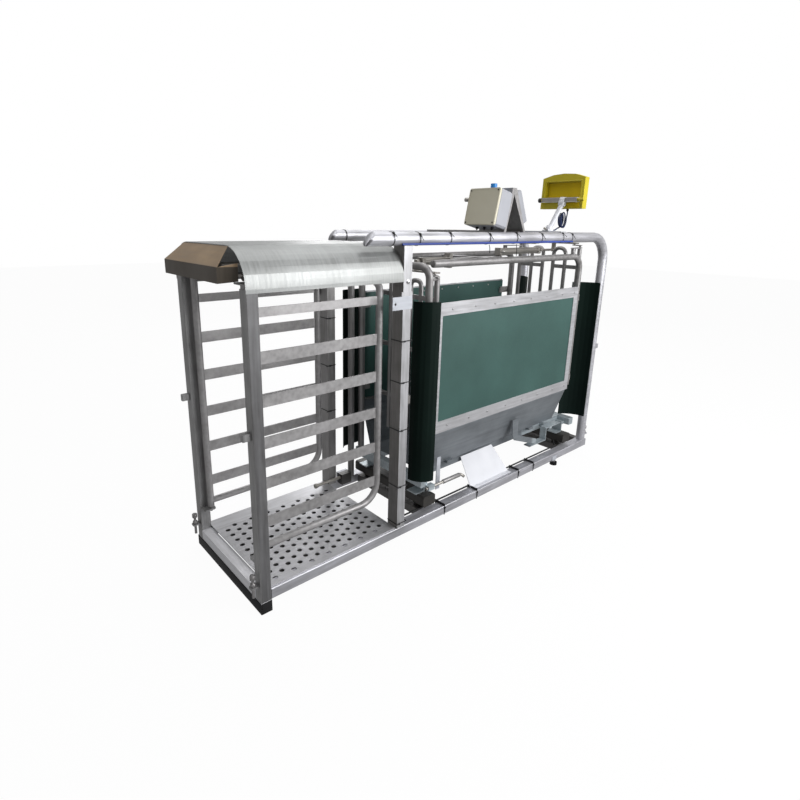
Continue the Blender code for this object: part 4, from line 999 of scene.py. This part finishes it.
lip = run([(BACK_X - 0.0008, y, z) for y, z in corners], LIP_R, bend=0.0)
settle(lip, "display_recess_lip", FINISH["yellow_case"], DISPLAY)
print("recess, cover, latch and lip")

# %% Channels, knob and plugs of the display
TILT_X, TILT_Z = 0.9175, 1.752
CHANNEL_HALF, FLANGE_AT, FLANGE_HALF = 0.0125, 0.0121, 0.0016
PLUG_AT, SOCKET_AT = (BACK_X + 0.0004, -0.292, 1.7510), (0.962, -0.205, 1.7004)
bright = metal("bright_channel", (0.50, 0.50, 0.50), (0.72, 0.72, 0.72), 0.28, (1, 0.05, 1), streak=120.0)
indigo = plastic("plug_blue", (0.03, 0.03, 0.16), (0.04, 0.04, 0.22), 0.35)


def channel(y0, y1, name):
    """Folded strip over the front of the round bar, open behind, with bright flanges above and below."""
    strip = block((TILT_X - 0.0140, y0, TILT_Z - CHANNEL_HALF), (TILT_X - 0.0112, y1, TILT_Z + CHANNEL_HALF),
                  0.0004, 1)
    settle(strip, f"{name}_front", FINISH["cylinder_metal"], DISPLAY)
    flanges = [block((TILT_X - 0.0146, y0, z - FLANGE_HALF), (TILT_X + 0.0215, y1, z + FLANGE_HALF), 0.0005)
               for z in (TILT_Z - FLANGE_AT, TILT_Z + FLANGE_AT)]
    settle(together(flanges), f"{name}_flanges", bright, DISPLAY)


channel(-0.292, -0.216, "display_channel_01")
channel(-0.174, -0.052, "display_channel_02")
knob = round_bar((TILT_X, -0.0455, TILT_Z), (TILT_X, -0.0245, TILT_Z), 0.0140, 12, 0.002)
hub = round_bar((TILT_X, -0.0500, TILT_Z), (TILT_X, -0.0440, TILT_Z), 0.0085, 16, 0.0008)
settle(together([knob, hub]), "display_knob", FINISH["dark_steel"], DISPLAY)
plug = gland(0.0080, 0.020)
plug.data.transform(turned(-90, "Z"))
plug.data.transform(at(*PLUG_AT))
settle(plug, "display_plug", indigo, DISPLAY)
socket = gland(0.0085, 0.014)
socket.data.transform(turned(90, "X"))
socket.data.transform(at(*SOCKET_AT))
settle(socket, "display_socket", FINISH["black_rubber"], DISPLAY)
print("two channels, knob, plug and socket")

# %% [markdown]
# Post clamp. The display's post stands in a small clamp that is bolted through the cross strap; a short
# lever tightens it. Plate and round socket are one piece, the lever and the four bolts are pieces of their
# own.

# %% Post clamp of the display
PLATE_TOP, CLAMP_X0, CLAMP_X1, CLAMP_Y0, CLAMP_Y1 = 1.5700, 0.800, 0.855, -0.1885, -0.1415
SOCKET_FOOT, SOCKET_TOP = (0.8295, -0.1652, 1.5695), (0.8390, -0.1686, 1.5930)
LEVER_ROOT, LEVER_TIP = (0.8060, -0.1650, 1.5760), (0.7850, -0.1650, 1.5830)
clamp_plate = block((CLAMP_X0, CLAMP_Y0, PLATE_TOP - 0.0045), (CLAMP_X1, CLAMP_Y1, PLATE_TOP), 0.001)
clamp_socket = round_bar(SOCKET_FOOT, SOCKET_TOP, 0.0215, 24, 0.0015)
settle(together([clamp_plate, clamp_socket]), "display_post_clamp", FINISH["white_paint"])
settle(round_bar(LEVER_ROOT, LEVER_TIP, 0.0065, 14, 0.001), "display_post_lever", FINISH["cylinder_metal"])
places = [at(x, y, PLATE_TOP) @ turned(-90, "X") for x in (CLAMP_X0 + 0.0065, CLAMP_X1 - 0.0065)
          for y in (CLAMP_Y0 + 0.006, CLAMP_Y1 - 0.006)]
copies(hex_bolt(0.008, 0.003), "clamp_bolt", places, steel)
print("clamp, lever and", len(places), "bolts")

# %% [markdown]
# Display cable. A black-sheathed cable leaves the socket under the case and hangs in a small tied coil that
# ends at the strap; it is a free cord, so its line is drawn as a smooth curve and its length is measured
# from that curve.

# %% Display cable
cable_black = plastic("cable_black", (0.006, 0.009, 0.035), (0.012, 0.035, 0.140), 0.42)
LEAVES = Vector((0.962, -0.205, 1.6900))
COIL_X, COIL_Z, COIL_WIDE, COIL_HIGH = 0.934, 1.6320, 0.025, 0.042
STEPS, START_DEG, STEP_DEG, TURN_GAP, WAVER, WAVER_STEPS = 66, 20, 18.0, 0.010, 0.10, 9.0


def smooth_line(points, times):
    """Rounds a line of points by cutting its corners again and again."""
    for _ in range(times):
        cut = [points[0]]
        for a, b in zip(points, points[1:]):
            cut += [a.lerp(b, 0.25), a.lerp(b, 0.75)]
        points = cut + [points[-1]]
    return points


def length_of(points):
    """Length of a line of points."""
    return sum((b - a).length for a, b in zip(points, points[1:]))


line = [LEAVES, Vector((0.965, -0.205, 1.6740))]
for step in range(STEPS + 1):
    turn = math.radians(START_DEG - STEP_DEG * step)
    wide = 1.0 + WAVER * math.sin(step / WAVER_STEPS)
    line.append(Vector((COIL_X + COIL_WIDE * wide * math.cos(turn),
                        LEAVES.y + TURN_GAP * step * STEP_DEG / 360,
                        COIL_Z + COIL_HIGH * wide * math.sin(turn))))
line += [Vector((0.912, -0.174, 1.5820)), Vector((0.895, -0.179, 1.5770)), Vector((0.876, -0.184, 1.5725)),
         Vector((0.8556, -0.186, 1.5700))]
line = smooth_line(line, 2)
display_cable = run(line, 0.0042, bend=0.0)
display_cable.name = "display_cable"
bpy.ops.object.shade_smooth_by_angle(angle=math.radians(60))
display_cable.data.materials.clear()
display_cable.data.materials.append(cable_black)
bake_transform(display_cable)
print("display cable", round(length_of(line), 3), "m,", len(display_cable.data.polygons), "faces")

# %% [markdown]
# Air cylinders. Each end of the two door cylinders has a bent push-in fitting with a threaded hexagon foot,
# screwed into the side of the head.

# %% Cylinder fittings
RAM_AXIS_Z = {"exit_ram": 1.381, "entry_ram": 1.440}
FITTING_IN = 0.011
nickel = metal("nickel_fitting", (0.50, 0.49, 0.46), (0.75, 0.74, 0.70), 0.25, EVEN,
               streak=150.0, metallic=0.9)


def fitting():
    """Bent push-in fitting that points along Z: threaded hexagon foot and an elbow that opens towards +X."""
    foot = round_bar((0, 0, 0), (0, 0, 0.008), 0.0048, 6, 0.0004)
    body = run([(0, 0, 0.007), (0, 0, 0.015), (0.012, 0, 0.015)], 0.0046, 12, 0.004)
    return together([foot, body])


places = []
for node, z in RAM_AXIS_Z.items():
    low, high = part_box(node)
    for x, turn in ((low.x + FITTING_IN, 0), (high.x - FITTING_IN, 180)):
        places.append(at(x, low.y, z) @ turned(90, "X") @ turned(turn, "Z"))
copies(fitting(), "air_fitting", places, nickel)
print(len(places), "fittings")

# %% [markdown]
# The bounds of the dressed machine are taken at the end.

# %% Finish of the file
low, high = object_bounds()
